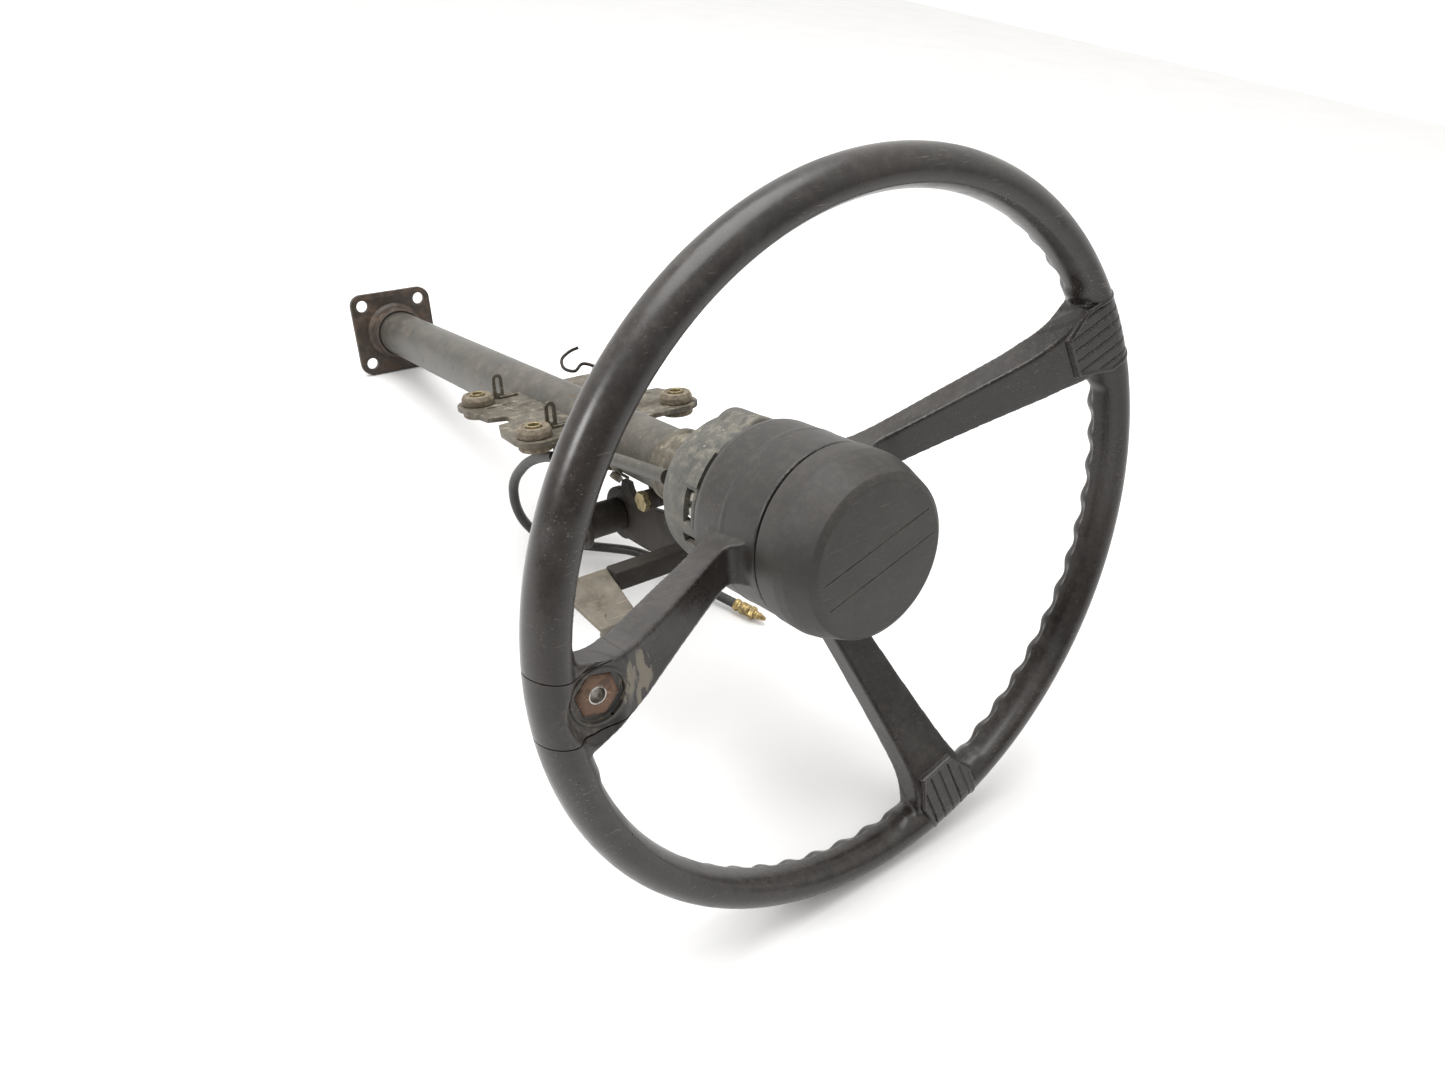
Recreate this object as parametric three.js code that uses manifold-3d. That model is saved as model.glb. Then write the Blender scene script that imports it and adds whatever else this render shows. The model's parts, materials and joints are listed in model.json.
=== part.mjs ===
// Steering column assembly of an industrial truck: a three-spoke steering wheel with a horn pad, its shaft,
// the column tube with a square mounting flange, a rubber-isolated mounting bracket and a tilt lock lever.
//
// The group lies as the loose assembly lies on a bench: on the rim of its wheel and the lower edge of its
// flange. Inside it the pieces share the column's own axes: Y runs down the column from the middle plane of
// the rim to the flange, X is the driver's right and Z is the driver's up. All sizes are in millimetres.
import * as THREE from "three";
import { mergeVertices } from "three/addons/utils/BufferGeometryUtils.js";
import Module from "manifold-3d";

const wasm = await Module();
wasm.setup();

// ---------------------------------------------------------------- driving dimensions
const GAP = 0.3; // clearance between pieces that touch
const THROUGH = 500; // reaches past the whole assembly, for cuts that go right through
const COLUMN_LENGTH = 686; // rim's middle plane to the flange's outer face

const RIM = { radius: 190, halfWidth: 10.5, halfDepth: 12.5 };
const SPOKE_ANGLES = [12, 168, -90]; // degrees from X towards Z, wheel straight ahead
const WHEEL_REST_ANGLE = 17; // how far the wheel is turned from straight ahead
const KNOB = { angle: 166.5, radius: 160, pocket: 12.5, floor: 2.5, hexRadius: 10.4 };
const BUSH = { radius: 4.3, bore: 3.5, length: 14 };
const COVER = { from: 138, halfWidth: 16 };

const PAD = { faceRadius: 41, radius: 50, shoulder: 22, depth: 36, wall: 3.2, travelGap: 1.5 };
const HUB = { radius: 50, wall: 4, front: PAD.depth + PAD.travelGap, rear: 92 };
const WEB = { front: 60, rear: 66, hole: 19 };
const SHAFT = { radius: 9.5, threadRadius: 7.5, front: 34, splineFront: 50.5, end: 671 };
const BOSS = { front: 50, neck: 16, flange: 54, flangeRadius: 30, barrel: WEB.hole - GAP, rear: 80 };
const NUT = { front: 38, rear: 48, radius: 13.5, washer: 13 };
const CAM = { outer: 24, rear: 99, noseReach: 26, noseLength: 9, noseHalfWidth: 3 };

const SPRING = { turns: 3, coil: 20, wire: 0.9, front: 6.3, rear: 28.4 };
const CONTACT = { front: 29.6, thickness: 1.6, inner: 15, outer: 42 };
const POST = { circle: 36, angles: [72, 192, 312], shank: 2, foot: 3.6, head: 3.8, hole: 2.4 };

const TUBE = { radius: 20.5, wall: 2.5, front: 128, end: COLUMN_LENGTH - 0.5 };
const COLLAR = { radius: 23.5, front: 142, rear: 176, chamfer: 2 };
const BEARING = { upper: 131, lower: 650, width: 12 };
const COUPLING = { inner: 6.5, outer: 15 };
const FLANGE = { size: 78, corner: 11, thickness: 5, holeSpacing: 56, holeRadius: 5.5 };
const HOUSING = { front: 94, radius: 46, rear: 141, wall: 3.2, rearHole: 26, seamAngle: 35 };
const LOBE = { angle: 88, offset: 35.2, radius: 14, rear: 122.5 };
const SCREW = { angles: [-105, -35], fromFront: 12, shank: 2, head: 4, headHeight: 2.6, hole: 2.3 };
const WINDOW = { from: 157, to: 181, front: 96.5, rear: 103.5 };
const SWITCH = { inner: 27, outer: 41.4, front: 96.6, rear: 113, opening: 8 };
const SOCKET = { inner: 31.6, web: 35, reach: 41, front: 98, rear: 109, halfSpan: 8 };
const PRONG = { angle: 6, halfWidth: 1.9 };

const ISOLATOR = { x: 55, near: 261, far: 355, farInset: 2, lobe: 15, radius: 11.5, neck: 7.7, bore: 5.7 };
const SLEEVE_BORE = 3.8; // of the steel sleeve in each isolator
const BRACKET = { bottom: 6.5, thickness: 3.5, near: 247, far: 369, saddleWall: 3.2 };
const SLOT = { x: 49.5, y: 339.6, halfLength: 4.4, halfWidth: 2.1 };
const ROUND_HOLE = { x: 40, y: 340, radius: 1.6 };
const TAB = { halfWidth: 4, halfThickness: 0.8, height: 18 };
const TAB_FOOT = { length: 14, halfWidth: 2.5, height: 1.5 };
const TAB_SLOT = { halfWidth: 1.6, bottom: 6, top: 15 };

const PIVOT = { y: 257, z: -59, outer: 12, bore: 6.4, left: -46, right: -1 };
const HANGER = { left: -34, thickness: 4, radius: 17 };
const CLAMP = { y: 204, z: -30, radius: 3.6, lugFrom: -2, lugThickness: 4, spacer: 6.5 };
const LEVER_PLATE = { from: 0, thickness: 5, eye: 19 };
const ARM = { left: -58, near: 163, far: 176, bottom: -64, top: -51, wall: 1.8 };
const LEVER_PAD = { width: 36, footWidth: 26, length: 41, thickness: 3.5, lip: 6, slope: 26.6 };

const HOSE_RADIUS = 3.6;
const FERRULE = { radius: 4.6, length: 13 };
const ROD = { radius: 4.5, far: 238 };
const CLIP = { near: 220, far: 228, thickness: 2.4, screwAngle: 223, hole: 1.8, shank: 1.5, head: 4.2 };

// The column is tipped until the rim and the flange's lower edge rest on the same level ground.
const TIP = Math.atan((RIM.radius - FLANGE.size / 2) / COLUMN_LENGTH);

// ---------------------------------------------------------------- materials
function material(color, roughness, metalness = 0) {
  return new THREE.MeshStandardMaterial({ color, roughness, metalness });
}
const FINISH = {
  wheelPlastic: material(0x262324, 0.42),
  padPlastic: material(0x35322f, 0.72),
  housingPlastic: material(0x3f403c, 0.85),
  columnPaint: material(0x4a4742, 0.6, 0.3),
  bracketSteel: material(0x5b5142, 0.7, 0.4),
  rustySteel: material(0x5a3a28, 0.85, 0.4),
  brightSteel: material(0x9a9890, 0.35, 0.9),
  zincYellow: material(0xa08a4a, 0.4, 0.8),
  brass: material(0x9a7c3c, 0.4, 0.8),
  rubber: material(0x4b4034, 0.9),
  hoseRubber: material(0x1d1c1b, 0.6),
  whitePlastic: material(0xd9d6cc, 0.5),
  blackPlastic: material(0x151515, 0.6),
};

// ---------------------------------------------------------------- shape helpers
const radians = THREE.MathUtils.degToRad;

// A closed geometry as a manifold solid, for joining and cutting.
function solid(geometry) {
  const bare = (geometry.index ? geometry.toNonIndexed() : geometry.clone());
  for (const name of Object.keys(bare.attributes)) {
    if (name !== "position") bare.deleteAttribute(name);
  }
  const merged = mergeVertices(bare, 1e-4);
  const made = new wasm.Manifold(
    new wasm.Mesh({
      numProp: 3,
      vertProperties: new Float32Array(merged.attributes.position.array),
      triVerts: new Uint32Array(merged.index.array),
    }),
  );
  if (made.volume() <= 0) throw new Error("a shape is inside out");
  return made;
}

function geometryOf(made) {
  const mesh = made.getMesh();
  const geometry = new THREE.BufferGeometry();
  geometry.setAttribute("position", new THREE.BufferAttribute(mesh.vertProperties, 3));
  geometry.setIndex(new THREE.BufferAttribute(mesh.triVerts, 1));
  geometry.computeVertexNormals();
  return geometry;
}

const asSolid = (shape) => (shape.isBufferGeometry ? solid(shape) : shape);
const join = (first, ...rest) => rest.reduce((made, shape) => made.add(asSolid(shape)), asSolid(first));
const cut = (first, ...rest) => rest.reduce((made, shape) => made.subtract(asSolid(shape)), asSolid(first));

// A body turned about Y from [radius, y] corners, counter-clockwise with the radius to the right.
function turned(corners, segments = 28, closed = true) {
  const points = corners.map(([r, y]) => new THREE.Vector2(r, y));
  if (closed) points.push(points[0].clone());
  return new THREE.LatheGeometry(points, segments);
}

const ring = (inner, outer, from, to, segments) =>
  turned([[inner, from], [outer, from], [outer, to], [inner, to]], segments);

const disc = (radius, from, to, segments = 20) =>
  new THREE.CylinderGeometry(radius, radius, to - from, segments).translate(0, (from + to) / 2, 0);

const hexagon = (radius, from, to) => disc(radius, from, to, 6);

function block([x0, x1], [y0, y1], [z0, z1]) {
  const box = new THREE.BoxGeometry(x1 - x0, y1 - y0, z1 - z0);
  return box.translate((x0 + x1) / 2, (y0 + y1) / 2, (z0 + z1) / 2);
}

const alongX = (geometry) => geometry.rotateZ(-Math.PI / 2);
const alongZ = (geometry) => geometry.rotateX(Math.PI / 2);
const aroundColumn = (geometry, degrees) => geometry.rotateY(-radians(degrees));

function extruded(shape, depth, curveSegments = 8) {
  return new THREE.ExtrudeGeometry(shape, { depth, bevelEnabled: false, curveSegments });
}

// A plate whose outline is drawn in (y, z) and whose thickness runs along X.
function plateAcrossX(shape, from, thickness) {
  const basis = new THREE.Matrix4().makeBasis(
    new THREE.Vector3(0, 1, 0),
    new THREE.Vector3(0, 0, 1),
    new THREE.Vector3(1, 0, 0),
  );
  return extruded(shape, thickness, 6).applyMatrix4(basis).translate(from, 0, 0);
}

// Rod, wire or hose of one radius along a smooth curve through points.
function bentRod(points, radius, steps, sides = 6) {
  const corners = points.map((p) => new THREE.Vector3(...p));
  const path = new THREE.CatmullRomCurve3(corners, false, "centripetal");
  const section = new THREE.Shape().absarc(0, 0, radius, 0, 2 * Math.PI);
  return new THREE.ExtrudeGeometry(section, {
    steps,
    extrudePath: path,
    bevelEnabled: false,
    curveSegments: sides / 2,
  });
}

// A skin over rings that each hold the same number of corners, closed by its first and last ring.
function lofted(rings) {
  const count = rings[0].length;
  const positions = rings.flat().flatMap((p) => [p.x, p.y, p.z]);
  const index = [];
  for (let k = 0; k + 1 < rings.length; k++) {
    for (let i = 0; i < count; i++) {
      const a = k * count + i;
      const b = k * count + ((i + 1) % count);
      index.push(a, a + count, b, b, a + count, b + count);
    }
  }
  const last = (rings.length - 1) * count;
  for (let i = 1; i + 1 < count; i++) {
    index.push(0, i, i + 1);
    index.push(last, last + i + 1, last + i);
  }
  const geometry = new THREE.BufferGeometry();
  geometry.setAttribute("position", new THREE.Float32BufferAttribute(positions, 3));
  geometry.setIndex(index);
  return geometry;
}

// Hexagon-head bolt along X: its head's underside is at x = 0 and its shank runs towards +X.
function boltAlongX(shankRadius, length, headRadius, headHeight) {
  const shank = disc(shankRadius, -1, length, 12);
  const head = hexagon(headRadius, -headHeight, 0);
  return alongX(geometryOf(join(head, shank)));
}

const nutAlongX = (bore, headRadius, height) =>
  alongX(geometryOf(cut(hexagon(headRadius, 0, height), disc(bore, -1, height + 1, 12))));

// ---------------------------------------------------------------- scene graph
const column = new THREE.Group();
column.rotation.x = -TIP;

const wheel = new THREE.Group();
wheel.rotation.y = -radians(WHEEL_REST_ANGLE);
column.add(wheel);

function place(parent, name, shape, finish, position = [0, 0, 0]) {
  const geometry = shape.isBufferGeometry ? shape : geometryOf(shape);
  const mesh = new THREE.Mesh(geometry, finish);
  mesh.name = name;
  mesh.position.set(...position);
  parent.add(mesh);
  return mesh;
}

// ---------------------------------------------------------------- steering wheel
function rim() {
  const middle = RIM.radius - RIM.halfWidth;
  const sides = 10;
  const section = Array.from({ length: sides }, (_, i) => {
    const a = (2 * Math.PI * i) / sides;
    return [middle + RIM.halfWidth * Math.cos(a), RIM.halfDepth * Math.sin(a)];
  });
  return turned(section, 48);
}

// Spokes dip from the rim back to the hub. Each station is [radius, front face's y, depth, half width].
function spoke(degrees) {
  const stations = [
    [47.5, 56, 19, 11],
    [70, 43, 20, 11],
    [105, 22.5, 22, 12],
    [140, 2, 23, 14.5],
    [158, -6, 20, 18.5],
    [180, -9, 18, 26],
  ];
  const rings = stations.map(([r, front, depth, half]) => [
    new THREE.Vector3(r, front, -half),
    new THREE.Vector3(r, front, half),
    new THREE.Vector3(r, front + depth, half * 0.86),
    new THREE.Vector3(r, front + depth, -half * 0.86),
  ]);
  return aroundColumn(lofted(rings), degrees);
}

function hubShell() {
  const inner = HUB.radius - HUB.wall;
  return turned([
    [HUB.radius, HUB.front],
    [HUB.radius, HUB.rear],
    [inner, HUB.rear],
    [inner, WEB.rear],
    [WEB.hole, WEB.rear],
    [WEB.hole, WEB.front],
    [inner, WEB.front],
    [inner, HUB.front],
  ], 32);
}

// The wheel is moulded in one piece, but the end of the knob's spoke is a separate cover that wraps the rim.
function wheelMoulding() {
  const whole = join(rim(), hubShell(), ...SPOKE_ANGLES.map(spoke));
  const atKnob = (shape) => aroundColumn(shape, KNOB.angle);
  const pocket = disc(KNOB.pocket, -THROUGH, KNOB.floor).translate(KNOB.radius, 0, 0);
  const bushHole = disc(BUSH.radius + GAP, -THROUGH, THROUGH, 12).translate(KNOB.radius, 0, 0);
  const region = (margin) => atKnob(block(
    [COVER.from - margin, THROUGH],
    [-THROUGH, HUB.front],
    [-COVER.halfWidth - margin, COVER.halfWidth + margin],
  ));
  const bored = cut(whole, atKnob(pocket), atKnob(bushHole));
  return {
    moulding: cut(bored, region(GAP / 2)),
    cover: bored.intersect(solid(region(-GAP / 2))),
  };
}

function addWheel() {
  const { moulding, cover } = wheelMoulding();
  place(wheel, "wheel_moulding", moulding, FINISH.wheelPlastic);
  place(wheel, "knob_spoke_cover", cover, FINISH.wheelPlastic);

  const a = radians(KNOB.angle);
  const at = [KNOB.radius * Math.cos(a), 0, KNOB.radius * Math.sin(a)];
  const front = KNOB.floor - 4;
  const hole = disc(BUSH.radius + GAP, -THROUGH, THROUGH, 12);
  const hex = cut(hexagon(KNOB.hexRadius, front, KNOB.floor - GAP), hole);
  place(wheel, "knob_mount_hex", hex, FINISH.rustySteel, at);
  const bush = ring(BUSH.bore, BUSH.radius, front, front + BUSH.length, 12);
  place(wheel, "knob_mount_bush", bush, FINISH.brightSteel, at);
}

function addHub() {
  const bore = SHAFT.radius + GAP;
  const boss = turned([
    [bore, BOSS.front],
    [BOSS.neck, BOSS.front],
    [BOSS.neck, BOSS.flange],
    [BOSS.flangeRadius, BOSS.flange],
    [BOSS.flangeRadius, WEB.front - GAP],
    [BOSS.barrel, WEB.front - GAP],
    [BOSS.barrel, BOSS.rear],
    [bore, BOSS.rear],
  ], 20);
  place(wheel, "hub_boss", boss, FINISH.bracketSteel);

  const threadHole = SHAFT.threadRadius + 2 * GAP;
  const nut = cut(hexagon(NUT.radius, NUT.front, NUT.rear), disc(threadHole, -THROUGH, THROUGH, 12));
  place(wheel, "shaft_nut", nut, FINISH.zincYellow);
  const washer = ring(threadHole, NUT.washer, NUT.rear + GAP, BOSS.front - GAP, 16);
  place(wheel, "shaft_nut_washer", washer, FINISH.brightSteel);

  const cam = join(
    ring(BOSS.barrel + 2 * GAP, CAM.outer, WEB.rear + GAP, CAM.rear, 20),
    block(
      [CAM.outer - 3, CAM.noseReach],
      [CAM.rear - CAM.noseLength, CAM.rear],
      [-CAM.noseHalfWidth, CAM.noseHalfWidth],
    ),
  );
  place(wheel, "signal_cancel_cam", cam, FINISH.whitePlastic);
}

function addShaft() {
  const shaft = turned([
    [0, SHAFT.front],
    [SHAFT.threadRadius, SHAFT.front],
    [SHAFT.threadRadius, SHAFT.splineFront],
    [SHAFT.radius, SHAFT.splineFront],
    [SHAFT.radius, SHAFT.end],
    [0, SHAFT.end],
  ], 20, false);
  place(wheel, "steering_shaft", shaft, FINISH.brightSteel);
  const sleeve = ring(COUPLING.inner, COUPLING.outer, SHAFT.end + GAP, TUBE.end - 1, 16);
  place(wheel, "spline_coupling", sleeve, FINISH.brightSteel);
}

// ---------------------------------------------------------------- horn
function hornPad() {
  const inner = PAD.radius - PAD.wall;
  return turned([
    [0, 0],
    [PAD.faceRadius, 0],
    [PAD.faceRadius + 3, 2.2],
    [PAD.radius - 1.3, PAD.shoulder - 6],
    [PAD.radius, PAD.shoulder],
    [PAD.radius, PAD.depth],
    [inner, PAD.depth],
    [PAD.faceRadius - 1, 4],
    [0, 4],
  ], 32, false);
}

function hornSpring() {
  const { turns, coil, wire, front, rear } = SPRING;
  const count = 8 * turns;
  const points = Array.from({ length: count + 1 }, (_, i) => {
    const a = (2 * Math.PI * turns * i) / count;
    return [coil * Math.cos(a), front + ((rear - front) * i) / count, coil * Math.sin(a)];
  });
  return bentRod(points, wire, 10 * turns, 4);
}

// The pad's contact plate stands on three posts that rise from the hub's web and end in a head over it.
function addHorn() {
  place(wheel, "horn_pad", hornPad(), FINISH.padPlastic);
  place(wheel, "horn_spring", hornSpring(), FINISH.brightSteel);
  const { front, thickness, inner, outer } = CONTACT;
  const rear = front + thickness;
  const onCircle = (degrees) => {
    const a = radians(degrees);
    return [POST.circle * Math.cos(a), 0, POST.circle * Math.sin(a)];
  };
  const holes = POST.angles.map((d) => disc(POST.hole, -THROUGH, THROUGH, 8).translate(...onCircle(d)));
  place(wheel, "horn_contact_plate", cut(ring(inner, outer, front, rear, 24), ...holes), FINISH.zincYellow);
  POST.angles.forEach((degrees, i) => {
    const post = join(
      disc(POST.foot, rear + GAP, WEB.front - GAP, 8),
      disc(POST.shank, front - 1, rear + 1, 8),
      disc(POST.head, front - GAP - 2, front - GAP, 8),
    );
    place(wheel, `contact_post_${i + 1}`, post, FINISH.brightSteel, onCircle(degrees));
  });
}

// ---------------------------------------------------------------- column tube and flange
function addTube() {
  const tube = ring(TUBE.radius - TUBE.wall, TUBE.radius, TUBE.front, TUBE.end, 32);
  place(column, "column_tube", tube, FINISH.columnPaint);
  const collar = turned([
    [TUBE.radius + GAP, COLLAR.front],
    [COLLAR.radius, COLLAR.front],
    [COLLAR.radius, COLLAR.rear - COLLAR.chamfer],
    [COLLAR.radius - COLLAR.chamfer / 2, COLLAR.rear],
    [TUBE.radius + GAP, COLLAR.rear],
  ]);
  place(column, "bearing_collar", collar, FINISH.rustySteel);
  const bore = SHAFT.radius + GAP;
  const seat = TUBE.radius - TUBE.wall - 2 * GAP;
  const { upper, lower, width } = BEARING;
  place(column, "upper_bearing", ring(bore, seat, upper, upper + width, 16), FINISH.brightSteel);
  place(column, "shaft_seal", ring(bore, seat, TUBE.front - 0.5, upper - GAP, 16), FINISH.blackPlastic);
  place(column, "lower_bearing", ring(bore, seat, lower, lower + width, 16), FINISH.brightSteel);
  const retainer = ring(bore + 2, seat, lower + width + GAP, lower + width + 2, 16);
  place(column, "bearing_retainer", retainer, FINISH.brightSteel);
}

function flangeShape() {
  const half = FLANGE.size / 2;
  const c = half - FLANGE.corner;
  const shape = new THREE.Shape();
  [[c, c, 0], [-c, c, 90], [-c, -c, 180], [c, -c, 270]].forEach(([x, y, start]) => {
    shape.absarc(x, y, FLANGE.corner, radians(start), radians(start + 90), false);
  });
  const spread = FLANGE.holeSpacing / 2;
  for (const x of [-spread, spread]) {
    for (const y of [-spread, spread]) {
      shape.holes.push(new THREE.Path().absarc(x, y, FLANGE.holeRadius, 0, 2 * Math.PI, true));
    }
  }
  shape.holes.push(new THREE.Path().absarc(0, 0, TUBE.radius + 2 * GAP, 0, 2 * Math.PI, true));
  return shape;
}

function addFlange() {
  const plate = extruded(flangeShape(), FLANGE.thickness, 7);
  plate.rotateX(Math.PI / 2).translate(0, COLUMN_LENGTH, 0);
  place(column, "mounting_flange", plate, FINISH.columnPaint);
  const back = COLUMN_LENGTH - FLANGE.thickness - GAP;
  const weldCollar = turned([
    [TUBE.radius + GAP, back - 15],
    [TUBE.radius + 2.5, back - 15],
    [TUBE.radius + 3.5, back - 7],
    [TUBE.radius + 7, back],
    [TUBE.radius + GAP, back],
  ]);
  place(column, "flange_collar", weldCollar, FINISH.columnPaint);
}

// ---------------------------------------------------------------- switch housing
function housingShell() {
  const { front, radius, rear, wall, rearHole } = HOUSING;
  const shell = turned([
    [radius, front],
    [radius, front + 20],
    [radius - 2, front + 32],
    [radius - 7, front + 40],
    [rearHole + 6, rear - 1],
    [rearHole, rear],
    [rearHole, rear - wall],
    [radius - 11, front + 36],
    [radius - wall, front + 19],
    [radius - wall, front],
  ], 32);
  const lobeRod = disc(LOBE.radius, front + 1, LOBE.rear, 24).translate(LOBE.offset, 0, 0);
  const lobe = aroundColumn(lobeRod, LOBE.angle);
  const cavity = turned([
    [0, front - 5],
    [radius - wall + 1, front - 5],
    [radius - wall + 1, front + 19],
    [radius - 8, front + 36],
    [rearHole + 4, rear + 5],
    [0, rear + 5],
  ], 32, false);
  return join(shell, cut(lobe, cavity));
}

// A wedge of the space round the column, from one angle to another.
function sector(from, to, radius, front, rear) {
  const shape = new THREE.Shape();
  shape.moveTo(0, 0);
  shape.lineTo(radius * Math.cos(radians(from)), radius * Math.sin(radians(from)));
  shape.absarc(0, 0, radius, radians(from), radians(to), false);
  shape.closePath();
  return extruded(shape, rear - front, 6).rotateX(Math.PI / 2).translate(0, rear, 0);
}

// Upper and lower shells meet on a plane through the column's axis.
function addHousing() {
  const { front, radius, rear, seamAngle } = HOUSING;
  const shell = cut(housingShell(), windowCut());
  const half = (from) => {
    const middle = radians(from + 90);
    return solid(sector(from, from + 180, 2 * radius, front - 10, rear + 10))
      .translate((GAP / 2) * Math.cos(middle), 0, (GAP / 2) * Math.sin(middle));
  };
  const radial = (shape, degrees) => (
    aroundColumn(alongX(shape).translate(0, front + SCREW.fromFront, 0), degrees)
  );
  const holes = SCREW.angles.map((d) => radial(disc(SCREW.hole, radius - 10, radius + 5, 8), d));
  place(column, "housing_upper", shell.intersect(half(seamAngle)), FINISH.housingPlastic);
  const lower = cut(shell.intersect(half(seamAngle + 180)), ...holes);
  place(column, "housing_lower", lower, FINISH.housingPlastic);
  SCREW.angles.forEach((degrees, i) => {
    const screw = join(
      disc(SCREW.shank, radius - 4, radius + 1.5, 8),
      disc(SCREW.head, radius + GAP, radius + SCREW.headHeight, 12),
    );
    place(column, `housing_screw_${i + 1}`, radial(geometryOf(screw), degrees), FINISH.brightSteel);
  });
}

function windowCut() {
  const throughTheWall = sector(WINDOW.from, WINDOW.to, 2 * HOUSING.radius, WINDOW.front, WINDOW.rear);
  return cut(throughTheWall, disc(34, 0, 200));
}

// The switch sits in the housing round the shaft. Its socket, which carries the stalk, swings in the window.
function addSwitch() {
  const opening = cut(
    sector(WINDOW.from - SWITCH.opening, WINDOW.to + SWITCH.opening, 60, SWITCH.front - 1, SWITCH.rear + 1),
    disc(SOCKET.inner - 1.1, -THROUGH, THROUGH, 28),
  );
  const body = cut(ring(SWITCH.inner, SWITCH.outer, SWITCH.front, SWITCH.rear, 28), opening);
  place(column, "signal_switch_body", body, FINISH.blackPlastic);

  const { inner, web, reach, front, rear, halfSpan } = SOCKET;
  const middle = (WINDOW.from + WINDOW.to) / 2;
  const arc = cut(
    sector(middle - halfSpan, middle + halfSpan, web, front, rear),
    disc(inner, -THROUGH, THROUGH, 28),
  );
  const prongs = [-PRONG.angle, PRONG.angle].map((offset) => {
    const prong = block([inner + 0.4, reach], [front, rear], [-PRONG.halfWidth, PRONG.halfWidth]);
    return aroundColumn(prong, middle + offset);
  });
  place(column, "stalk_socket", join(arc, ...prongs), FINISH.whitePlastic);
}

// ---------------------------------------------------------------- isolated mounting bracket
function bracketPlate() {
  const { x, near, far, farInset, lobe } = ISOLATOR;
  const side = [
    [46, BRACKET.near],
    [x, near - lobe],
    "near",
    [x + lobe - 1, near + 22],
    [x + 8, near + 38],
    [x - 5, near + 40],
    [x - 4, near + 52],
    [x + 8, near + 57],
    [x + lobe - 3, far - 8],
    "far",
    [x - 8, far + lobe - 1],
    [40, BRACKET.far],
  ];
  const corner = (p) => {
    if (p === "near") return arcPoints(x, near, lobe, -90, 0);
    if (p === "far") return arcPoints(x - farInset, far, lobe, 0, 90);
    return [p];
  };
  const right = side.flatMap(corner);
  const left = right.map(([px, py]) => [-px, py]).reverse();
  const shape = new THREE.Shape([...right, ...left].map(([px, py]) => new THREE.Vector2(px, py)));
  for (const sign of [-1, 1]) {
    for (const [px, py] of [[x, near], [x - farInset, far]]) {
      shape.holes.push(new THREE.Path().absarc(sign * px, py, ISOLATOR.neck + GAP, 0, 2 * Math.PI, true));
    }
    const slot = new THREE.Path();
    slot.absellipse(sign * SLOT.x, SLOT.y, SLOT.halfLength, SLOT.halfWidth, 0, 2 * Math.PI, true);
    const round = new THREE.Path();
    round.absarc(sign * ROUND_HOLE.x, ROUND_HOLE.y, ROUND_HOLE.radius, 0, 2 * Math.PI, true);
    shape.holes.push(slot, round);
  }
  return extruded(shape, BRACKET.thickness, 6).translate(0, 0, BRACKET.bottom);
}

function arcPoints(cx, cy, r, from, to, steps = 4) {
  return Array.from({ length: steps + 1 }, (_, i) => {
    const a = radians(from + ((to - from) * i) / steps);
    return [cx + r * Math.cos(a), cy + r * Math.sin(a)];
  });
}

// Two wings joined by a saddle that passes under the tube.
function addBracket() {
  const inner = TUBE.radius + GAP;
  const outer = inner + BRACKET.saddleWall;
  const saddle = ring(inner, outer, BRACKET.near + 2, BRACKET.far - 2, 32);
  const top = BRACKET.bottom + BRACKET.thickness;
  const aboveWings = block([-THROUGH, THROUGH], [0, THROUGH], [top, THROUGH]);
  const wings = cut(bracketPlate(), disc(inner + 1, 0, THROUGH, 32));
  place(column, "mount_bracket", cut(join(wings, saddle), aboveWings), FINISH.bracketSteel);
}

const isolatorPlaces = () => [
  ["near_left", -ISOLATOR.x, ISOLATOR.near],
  ["near_right", ISOLATOR.x, ISOLATOR.near],
  ["far_left", -ISOLATOR.x + ISOLATOR.farInset, ISOLATOR.far],
  ["far_right", ISOLATOR.x - ISOLATOR.farInset, ISOLATOR.far],
];

function addIsolators() {
  const { bottom, thickness } = BRACKET;
  const top = bottom + thickness + GAP;
  const low = bottom - 5.5;
  const high = top + 7;
  const rubber = () => alongZ(turned([
    [ISOLATOR.bore, low],
    [ISOLATOR.radius, low],
    [ISOLATOR.radius, bottom - GAP],
    [ISOLATOR.neck, bottom - GAP],
    [ISOLATOR.neck, top],
    [ISOLATOR.radius, top],
    [ISOLATOR.radius - 0.8, high],
    [ISOLATOR.bore, high],
  ], 14));
  const sleeve = () => alongZ(ring(SLEEVE_BORE, ISOLATOR.bore - 2 * GAP, low - 0.5, high + 0.6, 12));
  isolatorPlaces().forEach(([where, x, y]) => {
    place(column, `isolator_${where}`, rubber(), FINISH.rubber, [x, y, 0]);
    place(column, `isolator_sleeve_${where}`, sleeve(), FINISH.zincYellow, [x, y, 0]);
  });
}

// An upright slotted tab on a foot that lies on the bracket.
function cableTab() {
  const tab = cut(
    block([-TAB.halfWidth, TAB.halfWidth], [-TAB.halfThickness, TAB.halfThickness], [0, TAB.height]),
    block([-TAB_SLOT.halfWidth, TAB_SLOT.halfWidth], [-THROUGH, THROUGH], [TAB_SLOT.bottom, TAB_SLOT.top]),
  );
  const { length, halfWidth, height } = TAB_FOOT;
  return join(tab, block([0, length], [-halfWidth, halfWidth], [0, height]));
}

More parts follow.
